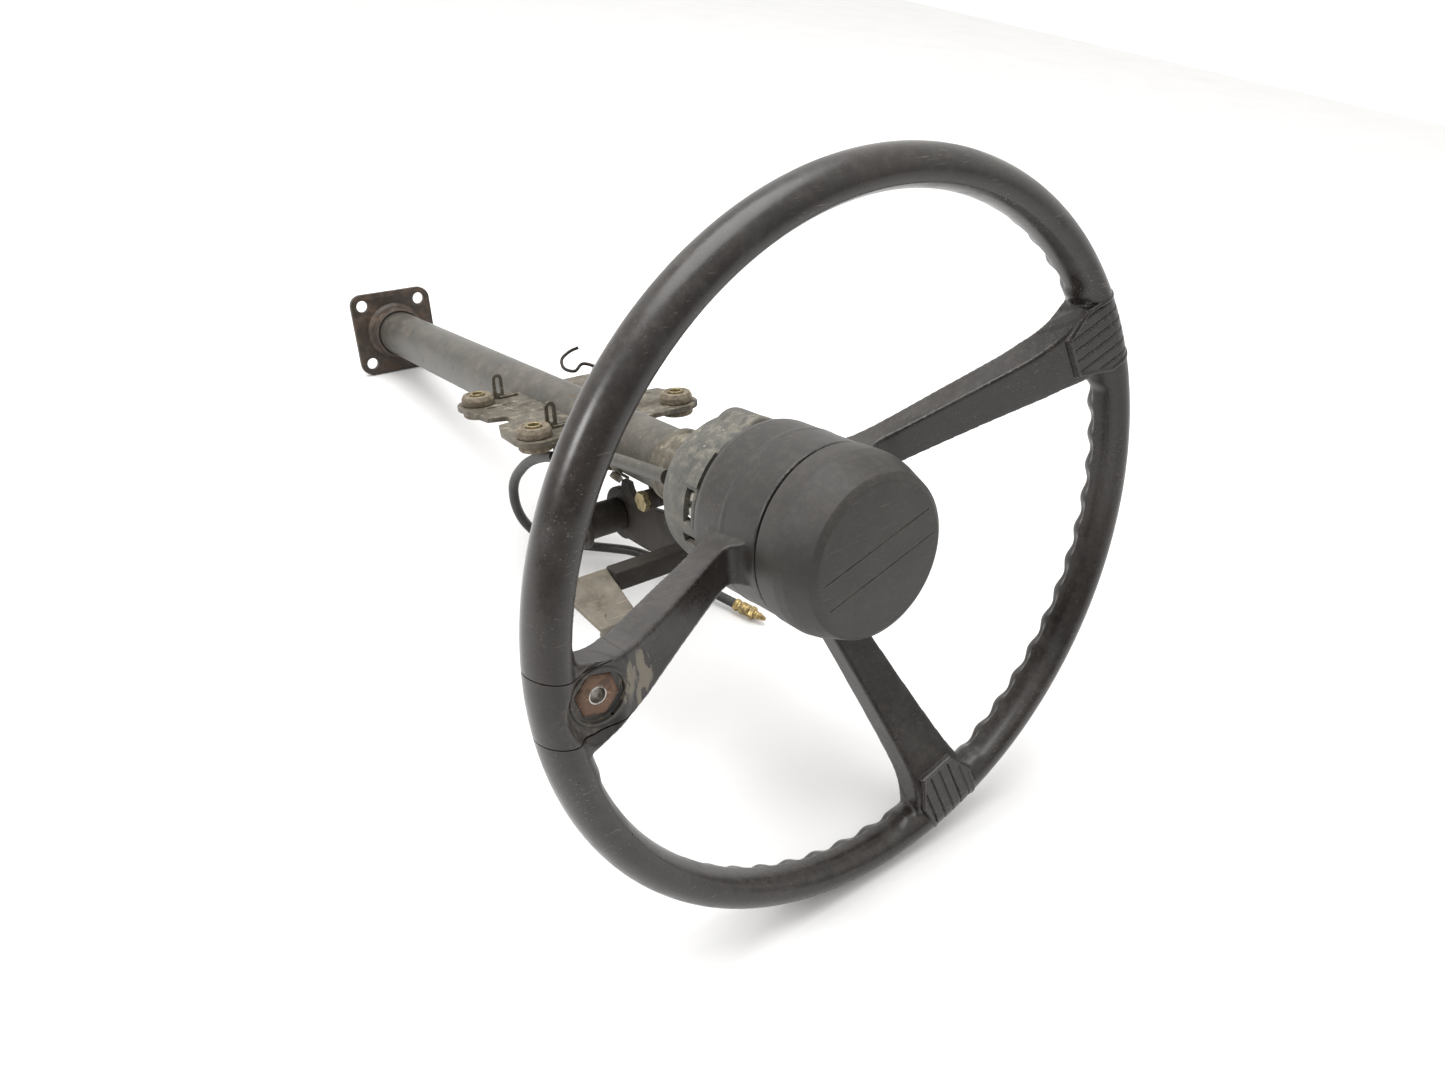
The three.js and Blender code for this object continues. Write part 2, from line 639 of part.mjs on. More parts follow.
function addCableTabs() {
  const z = BRACKET.bottom + BRACKET.thickness + GAP;
  place(column, "cable_tab_far", cableTab(), FINISH.bracketSteel, [-36, 357, z]);
  place(column, "cable_tab_near", cableTab(), FINISH.bracketSteel, [-39, 268, z]);
  const hook = bentRod([
    [44, 318, 11.5],
    [40, 322, 18],
    [30, 327, 26],
    [22, 333, 29],
    [14, 331, 25.5],
    [11, 342, 26],
    [17, 356, 29],
    [25, 358, 33],
    [31, 355, 35.5],
  ], 1.1, 18, 6);
  place(column, "wire_hook", hook, FINISH.rustySteel);
}

// ---------------------------------------------------------------- stay rod and hose
function addRod() {
  const near = HOUSING.rear + 2.5;
  const path = [[-30, near, 9], [-32.5, 190, 6], [-35, ROD.far, 2.5]];
  place(column, "stay_rod", bentRod(path, ROD.radius, 2, 12), FINISH.columnPaint);

  addRodClip();
}

// A loop round the rod, a strap on the tube and a bridge between them, held by one screw.
function addRodClip() {
  const { near: from, far: to, thickness, screwAngle } = CLIP;
  const loop = cut(disc(ROD.radius + 2.2, from, to, 12), disc(ROD.radius + 1, from - 5, to + 5, 12));
  const strap = cut(
    sector(168, 240, TUBE.radius + thickness, from, to),
    disc(TUBE.radius + 2 * GAP, from - 5, to + 5, 32),
  );
  const bridge = block([-28.6, -22], [from, to], [1.6, 3.4]);
  const clip = join(geometryOf(loop).translate(-34.4, 0, 3.3), bridge, strap);
  const radial = (shape) => aroundColumn(alongX(shape).translate(0, (from + to) / 2, 0), screwAngle);
  place(column, "rod_clip", cut(clip, radial(disc(CLIP.hole, 15, 30, 8))), FINISH.bracketSteel);
  const screw = join(
    disc(CLIP.shank, TUBE.radius + GAP, 26, 8),
    hexagon(CLIP.head, TUBE.radius + thickness + GAP, 27.5),
  );
  place(column, "clip_screw", radial(geometryOf(screw)), FINISH.bracketSteel);
}

function addHose() {
  const path = [
    [-43, 262, -7.5],
    [-45, 281, -13],
    [-46.5, 304, -25],
    [-46.5, 328, -48],
    [-42, 333, -74],
    [-22, 332, -100],
    [8, 319, -109.5],
    [34, 290, -113.5],
    [52, 246, -127.5],
    [65, 214, -136.4],
  ];
  place(column, "hose", bentRod(path, HOSE_RADIUS, 22, 8), FINISH.hoseRubber);
  const end = new THREE.Vector3(...path.at(-1));
  const heading = end.clone().sub(new THREE.Vector3(...path.at(-2))).normalize();
  const turn = new THREE.Quaternion().setFromUnitVectors(new THREE.Vector3(0, 1, 0), heading);
  const onEnd = (shape, from) => {
    const geometry = shape.isBufferGeometry ? shape : geometryOf(shape);
    return geometry.translate(0, from, 0).applyQuaternion(turn).translate(end.x, end.y, end.z);
  };
  place(column, "hose_ferrule", onEnd(disc(FERRULE.radius, 0, FERRULE.length, 12), GAP), FINISH.brass);
  const nipple = turned([[0, 3], [3.2, 3], [3.2, 6], [1.2, 13], [0, 13]], 12, false);
  const fitting = join(hexagon(5, 0, 4), nipple);
  place(column, "hose_fitting", onEnd(fitting, FERRULE.length + 2 * GAP), FINISH.brass);
}

// ---------------------------------------------------------------- tilt lock lever
function circleHole(y, z, radius) {
  return new THREE.Path().absarc(y, z, radius, 0, 2 * Math.PI, true);
}

// A hanger under the bracket's left wing carries the tube in which the lever's pivot bolt turns.
function addPivot() {
  const { y, z, outer, bore, left, right } = PIVOT;
  const top = BRACKET.bottom - GAP;
  const hanger = new THREE.Shape();
  hanger.moveTo(y + 27, top);
  hanger.lineTo(y - 9, top);
  hanger.absarc(y, z, HANGER.radius, radians(-165), radians(-20), false);
  hanger.holes.push(circleHole(y, z, outer + 3 * GAP));
  place(column, "pivot_hanger", plateAcrossX(hanger, HANGER.left, HANGER.thickness), FINISH.rustySteel);

  const pivotTube = alongX(ring(bore, outer, left, right, 20)).translate(0, y, z);
  place(column, "pivot_tube", pivotTube, FINISH.rustySteel);
  const bolt = boltAlongX(6, 62, 10.5, 6.5).translate(left - GAP, y, z);
  place(column, "pivot_bolt", bolt, FINISH.zincYellow);
  const nut = nutAlongX(6.4, 10.5, 8).translate(LEVER_PLATE.from + LEVER_PLATE.thickness + 0.8, y, z);
  place(column, "pivot_nut", nut, FINISH.zincYellow);
}

// The bolt that clamps the tube in its collar is also the lever's upper stop.
function addClamp() {
  const { y, z, radius, lugFrom, lugThickness, spacer } = CLAMP;
  const lug = new THREE.Shape();
  lug.moveTo(y + 13, -12);
  lug.lineTo(y - 13, -12);
  lug.absarc(y, z, radius + 3, -Math.PI, 0, false);
  lug.holes.push(circleHole(y, z, radius + 2 * GAP));
  const tubeClear = disc(TUBE.radius + 2 * GAP, 100, 400, 32);
  place(column, "clamp_lug", cut(plateAcrossX(lug, lugFrom, lugThickness), tubeClear), FINISH.rustySteel);
  const spacerRing = alongX(ring(radius + 2 * GAP, radius + 3, 0, spacer, 14));
  place(column, "clamp_spacer", spacerRing.translate(lugFrom - GAP - spacer, y, z), FINISH.rustySteel);
  const bolt = boltAlongX(radius, 18, 6.9, 5).translate(lugFrom - spacer - 2 * GAP, y, z);
  place(column, "clamp_bolt", bolt, FINISH.zincYellow);
  const nut = nutAlongX(radius + 2 * GAP, 6.6, 4.6).translate(lugFrom + lugThickness + GAP, y, z);
  place(column, "clamp_nut", nut, FINISH.zincYellow);
}

// The plate swings on the pivot bolt; its upper edge is hollowed out to pass under the clamp bolt.
function leverPlate() {
  const { y, z } = PIVOT;
  const shape = new THREE.Shape();
  shape.moveTo(y - 6, z + 27);
  shape.lineTo(y - 14, z + 27);
  shape.quadraticCurveTo(y - 17, z + 13, CLAMP.y + 12, z + 16.5);
  shape.quadraticCurveTo(CLAMP.y + 2, z + 17.5, CLAMP.y - 5, z + 19.5);
  shape.lineTo(CLAMP.y - 13, z + 18);
  shape.lineTo(ARM.far + 8, ARM.top + 1);
  shape.lineTo(ARM.near, ARM.top + 1);
  shape.lineTo(ARM.near, ARM.bottom - 1);
  shape.lineTo(ARM.far, ARM.bottom - 2);
  shape.lineTo(y - 35, z - 17);
  shape.absarc(y, z, LEVER_PLATE.eye, radians(-115), radians(100), false);
  shape.holes.push(circleHole(y, z, 6.3));
  return plateAcrossX(shape, LEVER_PLATE.from, LEVER_PLATE.thickness);
}

function addLever() {
  place(column, "lever_plate", leverPlate(), FINISH.rustySteel);
  const { left, near, far, bottom, top, wall } = ARM;
  const right = LEVER_PLATE.from - GAP;
  const arm = cut(
    block([left, right], [near, far], [bottom, top]),
    block([left + wall, right + 5], [near + wall, far - wall], [bottom + wall, top - wall]),
  );
  place(column, "lever_arm", arm, FINISH.rustySteel);

  addLeverPad();
}

// A sloping plate that narrows downwards and is turned under at its foot.
function addLeverPad() {
  const { width, footWidth, length, thickness, lip, slope } = LEVER_PAD;
  const outline = new THREE.Shape();
  outline.moveTo(0, 0);
  outline.lineTo(-width, 0);
  outline.lineTo(-footWidth, -length);
  outline.lineTo(0, -length);
  const face = extruded(outline, thickness).translate(0, 0, -thickness);
  const underlip = block([-footWidth, 0], [-length, -length + thickness], [-thickness - lip, -1]);
  const side = ARM.left - GAP;
  const sloped = geometryOf(join(face, underlip)).rotateX(radians(slope));
  sloped.translate(side, ARM.far - 2, ARM.top);
  const web = block([side - thickness, side], [ARM.near, ARM.far - 3], [ARM.bottom, ARM.top - 7]);
  place(column, "lever_pad", join(sloped, web), FINISH.columnPaint);
}

// ---------------------------------------------------------------- assembly
addWheel();
addHub();
addShaft();
addHorn();
addTube();
addFlange();
addHousing();
addSwitch();
addBracket();
addIsolators();
addCableTabs();
addRod();
addHose();
addPivot();
addClamp();
addLever();

// The origin is on the ground under the middle of the assembly.
const assembly = new THREE.Group();
assembly.name = "steering_column";
assembly.add(column);
assembly.updateMatrixWorld(true);
const bounds = new THREE.Box3().setFromObject(assembly, true);
const centre = bounds.getCenter(new THREE.Vector3());
column.position.set(-centre.x, -centre.y, -bounds.min.z);

export default assembly;
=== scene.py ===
"""Looks for a used industrial truck steering column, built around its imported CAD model.

Pieces are drawn in millimetres along the column's own axes: Y runs down the column from the middle plane
of the rim, X is the driver's right and Z the driver's up. COLUMN places those axes in the row frame, and
WHEEL is the same frame turned with the wheel. Sizes and places are measured on the CAD nodes.
"""

import json
import math

import bmesh
import bpy
import numpy as np
from mathutils import Matrix, Vector


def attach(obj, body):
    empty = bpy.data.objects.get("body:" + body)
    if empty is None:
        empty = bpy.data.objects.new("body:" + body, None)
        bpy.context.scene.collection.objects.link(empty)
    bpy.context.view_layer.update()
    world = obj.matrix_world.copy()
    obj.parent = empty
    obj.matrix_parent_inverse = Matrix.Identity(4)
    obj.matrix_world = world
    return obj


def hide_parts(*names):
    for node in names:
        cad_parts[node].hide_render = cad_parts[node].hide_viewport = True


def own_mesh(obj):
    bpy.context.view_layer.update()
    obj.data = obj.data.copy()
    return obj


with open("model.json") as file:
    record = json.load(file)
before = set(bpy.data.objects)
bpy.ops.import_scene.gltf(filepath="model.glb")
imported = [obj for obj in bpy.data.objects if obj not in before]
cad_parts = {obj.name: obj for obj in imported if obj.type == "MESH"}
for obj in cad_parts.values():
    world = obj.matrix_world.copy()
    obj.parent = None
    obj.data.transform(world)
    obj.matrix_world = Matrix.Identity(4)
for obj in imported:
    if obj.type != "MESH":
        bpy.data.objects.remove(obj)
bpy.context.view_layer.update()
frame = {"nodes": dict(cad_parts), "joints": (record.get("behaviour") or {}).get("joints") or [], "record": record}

MM = 0.001
GAP = 0.3  # clearance between pieces that touch, in millimetres


# ------------------------------------------------------------------ the column's and the wheel's own axes
def named(things, name):
    return next(thing for thing in things if thing["name"] == name)


def column_axes():
    """Millimetres along the column's axes to metres in the row frame."""
    turn = named(frame["joints"], "wheel_turn")
    x = Vector((1, 0, 0))
    y = Vector(turn["axis"])
    z = x.cross(y)
    place = Matrix((x, y, z)).transposed().to_4x4() @ Matrix.Scale(MM, 4)
    return Matrix.Translation(turn["pos_m"]) @ place


def shift(x=0.0, y=0.0, z=0.0):
    return Matrix.Translation((x, y, z))


def about_y(degrees):
    """Turn about the column, from X towards Z."""
    return Matrix.Rotation(-math.radians(degrees), 4, "Y")


def polar(point):
    """Angle round the column of a point, in degrees from X towards Z."""
    return math.degrees(math.atan2(point.z, point.x))


COLUMN = column_axes()
# Angles are in degrees from X towards Z, with the wheel straight ahead.
RIGHT_SPOKE, KNOB_SPOKE, LOWER_SPOKE = 12, 168, -90
SPOKES = (RIGHT_SPOKE, KNOB_SPOKE, LOWER_SPOKE)
UPWARD_FLARE = {RIGHT_SPOKE: 4, KNOB_SPOKE: -6, LOWER_SPOKE: 0}  # shift across the spoke at the rim
KNOB_ANGLE = 166.5  # the knob's seat stands a little off the middle of its spoke
KNOB_SEAT = COLUMN.inverted() @ Vector(named(frame["record"]["mounts"], "knob_seat")["pos_m"])
REST_TURN = polar(KNOB_SEAT) - KNOB_ANGLE
WHEEL = COLUMN @ about_y(REST_TURN)


def points_of(node, axes=COLUMN):
    """A CAD node's corners along a frame's axes, in millimetres."""
    back = np.array(axes.inverted())
    corners = np.array([v.co for v in frame["nodes"][node].data.vertices])
    return corners @ back[:3, :3].T + back[:3, 3]


def span(node, axes=COLUMN):
    """Lowest and highest corner of a CAD node along a frame's axes."""
    corners = points_of(node, axes)
    return Vector(corners.min(0)), Vector(corners.max(0))


def reach(node):
    """Greatest distance of a CAD node from the column's axis."""
    corners = points_of(node)
    return float(np.hypot(corners[:, 0], corners[:, 2]).max())


# ------------------------------------------------------------------ mesh building
def as_object(mesh, name="work"):
    made = bpy.data.objects.new(name, mesh)
    bpy.context.scene.collection.objects.link(made)
    return made


def build(corners, faces):
    """An object from corner positions and faces, with its faces pointing out."""
    mesh = bpy.data.meshes.new("work")
    mesh.from_pydata([tuple(c) for c in corners], [], [tuple(f) for f in faces])
    work = bmesh.new()
    work.from_mesh(mesh)
    bmesh.ops.remove_doubles(work, verts=work.verts, dist=1e-4)
    bmesh.ops.delete(work, geom=[e for e in work.edges if not e.link_faces], context="EDGES")
    bmesh.ops.recalc_face_normals(work, faces=work.faces)
    work.to_mesh(mesh)
    work.free()
    return as_object(mesh)


def moved(made, *matrices):
    for matrix in matrices:
        made.data.transform(matrix)
    return made


def settled(made):
    """Turns the object's modifiers into its mesh."""
    shape = made.evaluated_get(bpy.context.evaluated_depsgraph_get())
    mesh = bpy.data.meshes.new_from_object(shape)
    made.modifiers.clear()
    made.data = mesh
    return made


def modified(made, kind, **settings):
    modifier = made.modifiers.new("work", kind)
    for name, value in settings.items():
        setattr(modifier, name, value)
    return settled(made)


def discard(*objects):
    for thing in objects:
        bpy.data.objects.remove(thing)


def duplicate(made):
    return as_object(made.data.copy())


def merged(*objects):
    """One object that holds the separate shells of several."""
    work = bmesh.new()
    for thing in objects:
        work.from_mesh(thing.data)
    mesh = bpy.data.meshes.new("work")
    work.to_mesh(mesh)
    work.free()
    discard(*objects)
    return as_object(mesh)


def combined(made, operation, *tools):
    """Joins, cuts or crosses the first object with each of the others."""
    for tool in tools:
        modified(made, "BOOLEAN", object=tool, operation=operation, solver="EXACT")
        discard(tool)
    return made


def cut(made, *tools):
    return combined(made, "DIFFERENCE", *tools)


def refined(made, inside, cuts):
    """Divides the faces finely wherever `inside` says so of both ends of an edge."""
    work = bmesh.new()
    work.from_mesh(made.data)
    work.verts.ensure_lookup_table()
    corners = np.array([v.co for v in work.verts])
    chosen = inside(corners)
    edges = [e for e in work.edges if chosen[e.verts[0].index] and chosen[e.verts[1].index]]
    bmesh.ops.subdivide_edges(work, edges=edges, cuts=cuts, use_grid_fill=True)
    work.to_mesh(made.data)
    work.free()
    return made


def fused(*objects, grain, smooth):
    """One skin over several solids, with fillets where they meet. The grain is the skin's mesh size."""
    made = merged(*objects)
    modified(made, "REMESH", mode="VOXEL", voxel_size=grain)
    return modified(made, "SMOOTH", factor=0.5, iterations=smooth)


def arc(centre, radius, start, stop, steps):
    """Points on a circle in the plane, from one angle to another in degrees."""
    angles = np.radians(np.linspace(start, stop, steps))
    return [(centre[0] + radius * math.cos(a), centre[1] + radius * math.sin(a)) for a in angles]


def rounded(corners, radius, steps=4):
    """A closed outline with its corners rounded off. A corner on the axis of a turned shape stays."""
    outline = []
    count = len(corners)
    for i, corner in enumerate(corners):
        here = Vector(corner)
        to_last = Vector(corners[i - 1]) - here
        to_next = Vector(corners[(i + 1) % count]) - here
        turn = to_last.angle(to_next)
        reach_back = min(radius / math.tan(turn / 2), 0.45 * to_last.length, 0.45 * to_next.length)
        if abs(here.x) < 1e-6 or turn > math.radians(172):
            outline.append(tuple(here))
            continue
        start = here + to_last.normalized() * reach_back
        end = here + to_next.normalized() * reach_back
        for t in np.linspace(0, 1, steps):
            outline.append(tuple(start * (1 - t) ** 2 + here * 2 * t * (1 - t) + end * t ** 2))
    return outline


def turned(corners, segments=64, radius=0.6):
    """A body turned about Y from [radius, y] corners."""
    profile = rounded(corners, radius)
    angles = np.linspace(0, 2 * math.pi, segments, endpoint=False)
    rings = [[(r * math.cos(a), y, r * math.sin(a)) for r, y in profile] for a in angles]
    return lofted(rings, wrap=True)


def lofted(rings, wrap=False):
    """A skin over rings of corners. It ends in flat caps, or joins its last ring to its first."""
    count = len(rings[0])
    total = len(rings)
    faces = []
    for k in range(total if wrap else total - 1):
        near, far = k * count, ((k + 1) % total) * count
        for i in range(count):
            j = (i + 1) % count
            faces.append((near + i, far + i, far + j, near + j))
    if not wrap:
        faces.append(range(count))
        faces.append(range((total - 1) * count, total * count))
    return build([corner for ring in rings for corner in ring], faces)


def ring(inner, outer, front, rear, **settings):
    return turned([(inner, front), (outer, front), (outer, rear), (inner, rear)], **settings)


def disc(outer, front, rear, **settings):
    return turned([(0, front), (outer, front), (outer, rear), (0, rear)], **settings)


def hexagon(corner_radius, front, rear):
    """A hexagonal prism along Y with its ends chamfered."""
    chamfer = 0.12 * corner_radius
    return turned(
        [
            (0, front),
            (corner_radius - chamfer, front),
            (corner_radius, front + 0.5 * chamfer),
            (corner_radius, rear - 0.5 * chamfer),
            (corner_radius - chamfer, rear),
            (0, rear),
        ],
        segments=6,
        radius=0.15,
    )


def box(x, y, z, bevel=0.0):
    """A block between pairs of limits, with rounded edges."""
    corners = [(x[i], y[j], z[k]) for i in (0, 1) for j in (0, 1) for k in (0, 1)]
    faces = [(0, 1, 3, 2), (4, 5, 7, 6), (0, 1, 5, 4), (2, 3, 7, 6), (0, 2, 6, 4), (1, 3, 7, 5)]
    made = build(corners, faces)
    if bevel:
        modified(made, "BEVEL", width=bevel, segments=3)
    return made


ACROSS_X = Matrix(((0, 0, 1, 0), (1, 0, 0, 0), (0, 1, 0, 0), (0, 0, 0, 1)))  # drawn in Y and Z
ACROSS_Y = Matrix(((1, 0, 0, 0), (0, 0, -1, 0), (0, 1, 0, 0), (0, 0, 0, 1)))  # drawn in X and Z
ALONG_X = Matrix.Rotation(-math.pi / 2, 4, "Z")  # takes +Y to +X
ALONG_Z = Matrix.Rotation(math.pi / 2, 4, "X")  # takes +Y to +Z
HEX_TURN = Matrix.Rotation(math.radians(30), 4, "Y")  # a hexagon with corners on X to one with corners on Z


def plate(outline, holes, thickness, edge=0.5):
    """A plate drawn in its own plane, centred on it, with its edges rounded."""
    drawing = bpy.data.curves.new("work", "CURVE")
    drawing.dimensions = "2D"
    drawing.fill_mode = "BOTH"
    drawing.extrude = thickness / 2 - edge
    drawing.bevel_depth = edge
    drawing.bevel_resolution = 2
    drawing.offset = -edge
    for loop in [outline, *holes]:
        line = drawing.splines.new("POLY")
        line.points.add(len(loop) - 1)
        for point, (x, y) in zip(line.points, loop):
            point.co = (x, y, 0, 1)
        line.use_cyclic_u = True
    return solidified(drawing)


def solidified(drawing):
    """A curve's skin as a mesh with its seams welded."""
    drawn = as_object(drawing)
    mesh = bpy.data.meshes.new_from_object(drawn.evaluated_get(bpy.context.evaluated_depsgraph_get()))
    discard(drawn)
    work = bmesh.new()
    work.from_mesh(mesh)
    bmesh.ops.remove_doubles(work, verts=work.verts, dist=1e-3)
    bmesh.ops.recalc_face_normals(work, faces=work.faces)
    work.to_mesh(mesh)
    work.free()
    return as_object(mesh)


def circle(x, y, radius, steps=40):
    return arc((x, y), radius, 0, 360 * (steps - 1) / steps, steps)


def rod(points, radius, sides=8, smooth=12):
    """Round bar, wire or hose along a smooth curve through points."""
    drawing = bpy.data.curves.new("work", "CURVE")
    drawing.dimensions = "3D"
    drawing.bevel_depth = radius
    drawing.bevel_resolution = sides
    drawing.use_fill_caps = True
    path = through([Vector(p) for p in points], smooth)
    line = drawing.splines.new("POLY")
    line.points.add(len(path) - 1)
    for point, place in zip(line.points, path):
        point.co = (*place, 1)
    return solidified(drawing)


def through(points, steps):
    """A smooth path through points, by Catmull-Rom pieces between neighbours."""
    ends = [2 * points[0] - points[1], *points, 2 * points[-1] - points[-2]]
    path = []
    for a, b, c, d in zip(ends, ends[1:], ends[2:], ends[3:]):
        for t in np.linspace(0, 1, steps, endpoint=False):
            slope = (c - a) * t
            bend = (2 * a - 5 * b + 4 * c - d) * t ** 2
            change = (3 * b - a - 3 * c + d) * t ** 3
            path.append(0.5 * (2 * b + slope + bend + change))
    return [*path, points[-1]]


def piece(made, body, finish, *nodes, axes=COLUMN, crease=35, paint=None):
    """The finished piece: placed in the row frame, riding on its body and standing for its CAD nodes."""
    made.name = "fine_" + nodes[0]
    made.data.name = made.name
    made.data.transform(axes)
    made.data.shade_smooth()
    made.data.set_sharp_from_angle(angle=math.radians(crease))
    made.data.materials.clear()
    made.data.materials.append(paint or FINISHES[finish])
    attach(made, body)
    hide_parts(*nodes)
    return made


# ------------------------------------------------------------------ finishes
class Finish:
    """A material in layers: base colour, stains, dust, scratches and worn edges, each with its bump."""

    def __init__(self, name, base, rough, metal=0.0):
        self.material = bpy.data.materials.new(name)
        self.material.use_nodes = True
        self.tree = self.material.node_tree
        self.shader = self.tree.nodes["Principled BSDF"]
        self.place = self.node("ShaderNodeTexCoord").outputs["Object"]
        self.colour = self.value_of(base)
        self.rough = self.number(rough)
        self.metal = self.number(metal)
        self.height = self.number(0.0)

    def node(self, kind, **settings):
        made = self.tree.nodes.new(kind)
        for name, value in settings.items():
            setattr(made, name, value)
        return made

    def feed(self, socket, source):
        """Sets a socket from another node's output, or from a plain value."""
        if isinstance(source, bpy.types.NodeSocket):
            self.tree.links.new(source, socket)
        else:
            socket.default_value = source

    def number(self, value):
        made = self.node("ShaderNodeValue")
        made.outputs[0].default_value = value
        return made.outputs[0]

    def value_of(self, colour):
        made = self.node("ShaderNodeRGB")
        made.outputs[0].default_value = (*colour, 1)
        return made.outputs[0]

    def math(self, operation, first, second=0.0, clamp=False):
        made = self.node("ShaderNodeMath", operation=operation, use_clamp=clamp)
        self.feed(made.inputs[0], first)
        self.feed(made.inputs[1], second)
        return made.outputs[0]

    def noise(self, size, detail=4.0, stretch=(1, 1, 1), turn=(0, 0, 0), blur=0.55, twist=0.0):
        """Noise from 0 to 1 whose features are about `size` millimetres across."""
        mapping = self.node("ShaderNodeMapping")
        self.feed(mapping.inputs["Vector"], self.place)
        mapping.inputs["Scale"].default_value = stretch
        mapping.inputs["Rotation"].default_value = [math.radians(a) for a in turn]
        made = self.node("ShaderNodeTexNoise")
        self.feed(made.inputs["Vector"], mapping.outputs[0])
        made.inputs["Scale"].default_value = 1 / (size * MM)
        made.inputs["Detail"].default_value = detail
        made.inputs["Roughness"].default_value = blur
        made.inputs["Distortion"].default_value = twist
        return made.outputs["Fac"]

    def between(self, value, low, high):
        """0 below low, 1 above high, smooth in between."""
        made = self.node("ShaderNodeMapRange", interpolation_type="SMOOTHSTEP")
        self.feed(made.inputs["Value"], value)
        made.inputs["From Min"].default_value = low
        made.inputs["From Max"].default_value = high
        return made.outputs[0]

    def upward(self, low=0.1, high=0.9):
        """How far the surface faces up."""
        normal = self.node("ShaderNodeNewGeometry").outputs["Normal"]
        parts = self.node("ShaderNodeSeparateXYZ")
        self.feed(parts.inputs[0], normal)
        return self.between(parts.outputs["Z"], low, high)

    def near(self, centre, reach_mm):
        """1 at a point of the row frame, falling to 0 at that many millimetres from it."""
        made = self.node("ShaderNodeVectorMath", operation="DISTANCE")
        self.feed(made.inputs[0], self.place)
        made.inputs[1].default_value = centre
        away = self.between(made.outputs["Value"], 0.4 * reach_mm * MM, reach_mm * MM)
        return self.math("SUBTRACT", 1.0, away)

    def layer(self, mask, colour=None, rough=None, metal=None, height=0.0):
        """Lays a coat over what is there wherever the mask is above 0."""
        if colour is not None:
            under, over, mixed = 6, 7, 2  # the mix node's sockets for colours
            mix = self.node("ShaderNodeMix", data_type="RGBA")
            self.feed(mix.inputs["Factor"], mask)
            self.feed(mix.inputs[under], self.colour)
            mix.inputs[over].default_value = (*colour, 1)
            self.colour = mix.outputs[mixed]
        if rough is not None:
            self.rough = self.blend(mask, self.rough, rough)
        if metal is not None:
            self.metal = self.blend(mask, self.metal, metal)
        if height:
            self.height = self.math("ADD", self.height, self.math("MULTIPLY", mask, height))
        return self

    def blend(self, mask, low, high):
        """One number where the mask is 0 and the other where it is 1."""
        mix = self.node("ShaderNodeMix", data_type="FLOAT")
        for socket, source in zip((0, 2, 3), (mask, low, high)):
            self.feed(mix.inputs[socket], source)
        return mix.outputs[0]

    def clouds(self, colour, size, share, rough=None, height=0.0, edge=0.08, **noise):
        """Soft patches that cover about that share of the surface."""
        middle = 0.5 + 0.22 * (1 - 2 * share)
        patch = self.between(self.noise(size, **noise), middle - edge, middle + edge)
        return self.layer(patch, colour, rough, height=height)

    def dust(self, colour, amount, size=9, rough=0.9):
        """Fine dust that lies in blotches, mostly on surfaces that face up."""
        blotches = self.between(self.noise(size, detail=8, blur=0.7), 0.42, 0.72)
        facing = self.math("ADD", self.math("MULTIPLY", self.upward(), 0.6), 0.4)
        mask = self.math("MULTIPLY", self.math("MULTIPLY", blotches, facing), amount)
        return self.layer(mask, colour, rough)

    def scratches(self, colour, amount, length=22, turns=((0, 0, 20), (60, 20, 0)), rough=0.6):
        """Fine straight scratches in a few directions, here and there."""
        for turn in turns:
            lines = self.between(self.noise(length, detail=2, stretch=(1, 28, 28), turn=turn), 0.655, 0.7)
            places = self.between(self.noise(45, detail=3, turn=turn), 0.46, 0.62)
            mask = self.math("MULTIPLY", self.math("MULTIPLY", lines, places), amount)
            self.layer(mask, colour, rough, height=-0.25)
        return self

    def worn_edges(self, colour, amount, rough=None, metal=None, width=1.0):
        """Edges rubbed through, found by how far a rounded normal leans from the true one."""
        bevel = self.node("ShaderNodeBevel", samples=4)
        bevel.inputs["Radius"].default_value = width * MM
        lean = self.node("ShaderNodeVectorMath", operation="DOT_PRODUCT")
        self.feed(lean.inputs[0], bevel.outputs[0])
        self.feed(lean.inputs[1], self.node("ShaderNodeNewGeometry").outputs["Normal"])
        edge = self.between(self.math("SUBTRACT", 1.0, lean.outputs["Value"]), 0.015, 0.16)
        rubbed = self.math("MULTIPLY", edge, self.between(self.noise(6, detail=6), 0.4, 0.6))
        return self.layer(self.math("MULTIPLY", rubbed, amount), colour, rough, metal)

    def grain(self, size, height, detail=3.0):
        """An even fine texture in the surface."""
        bumps = self.math("SUBTRACT", self.noise(size, detail=detail), 0.5)
        self.height = self.math("ADD", self.height, self.math("MULTIPLY", bumps, height))
        return self

    def sheen_varies(self, size, amount):
        """Roughness that drifts across the surface."""
        drift = self.math("MULTIPLY", self.math("SUBTRACT", self.noise(size), 0.5), amount)
        self.rough = self.math("ADD", self.rough, drift, clamp=True)
        return self

    def done(self, relief=0.15):
        """Connects the layers to the shader. Relief is the height of one unit of bump, in millimetres."""
        bump = self.node("ShaderNodeBump")
        bump.inputs["Distance"].default_value = relief * MM
        self.feed(bump.inputs["Height"], self.height)
        self.feed(self.shader.inputs["Base Color"], self.colour)
        self.feed(self.shader.inputs["Roughness"], self.rough)
        self.feed(self.shader.inputs["Metallic"], self.metal)
        self.feed(self.shader.inputs["Normal"], bump.outputs[0])
        return self.material


BEIGE_DUST = (0.36, 0.32, 0.25)
PALE_SCRATCH = (0.22, 0.17, 0.13)
RUST = (0.13, 0.055, 0.028)


def in_wheel(along, across, y=0.0):
    """A point beside the knob's spoke, in the row frame."""
    return WHEEL @ about_y(KNOB_SPOKE) @ Vector((along, y, across))


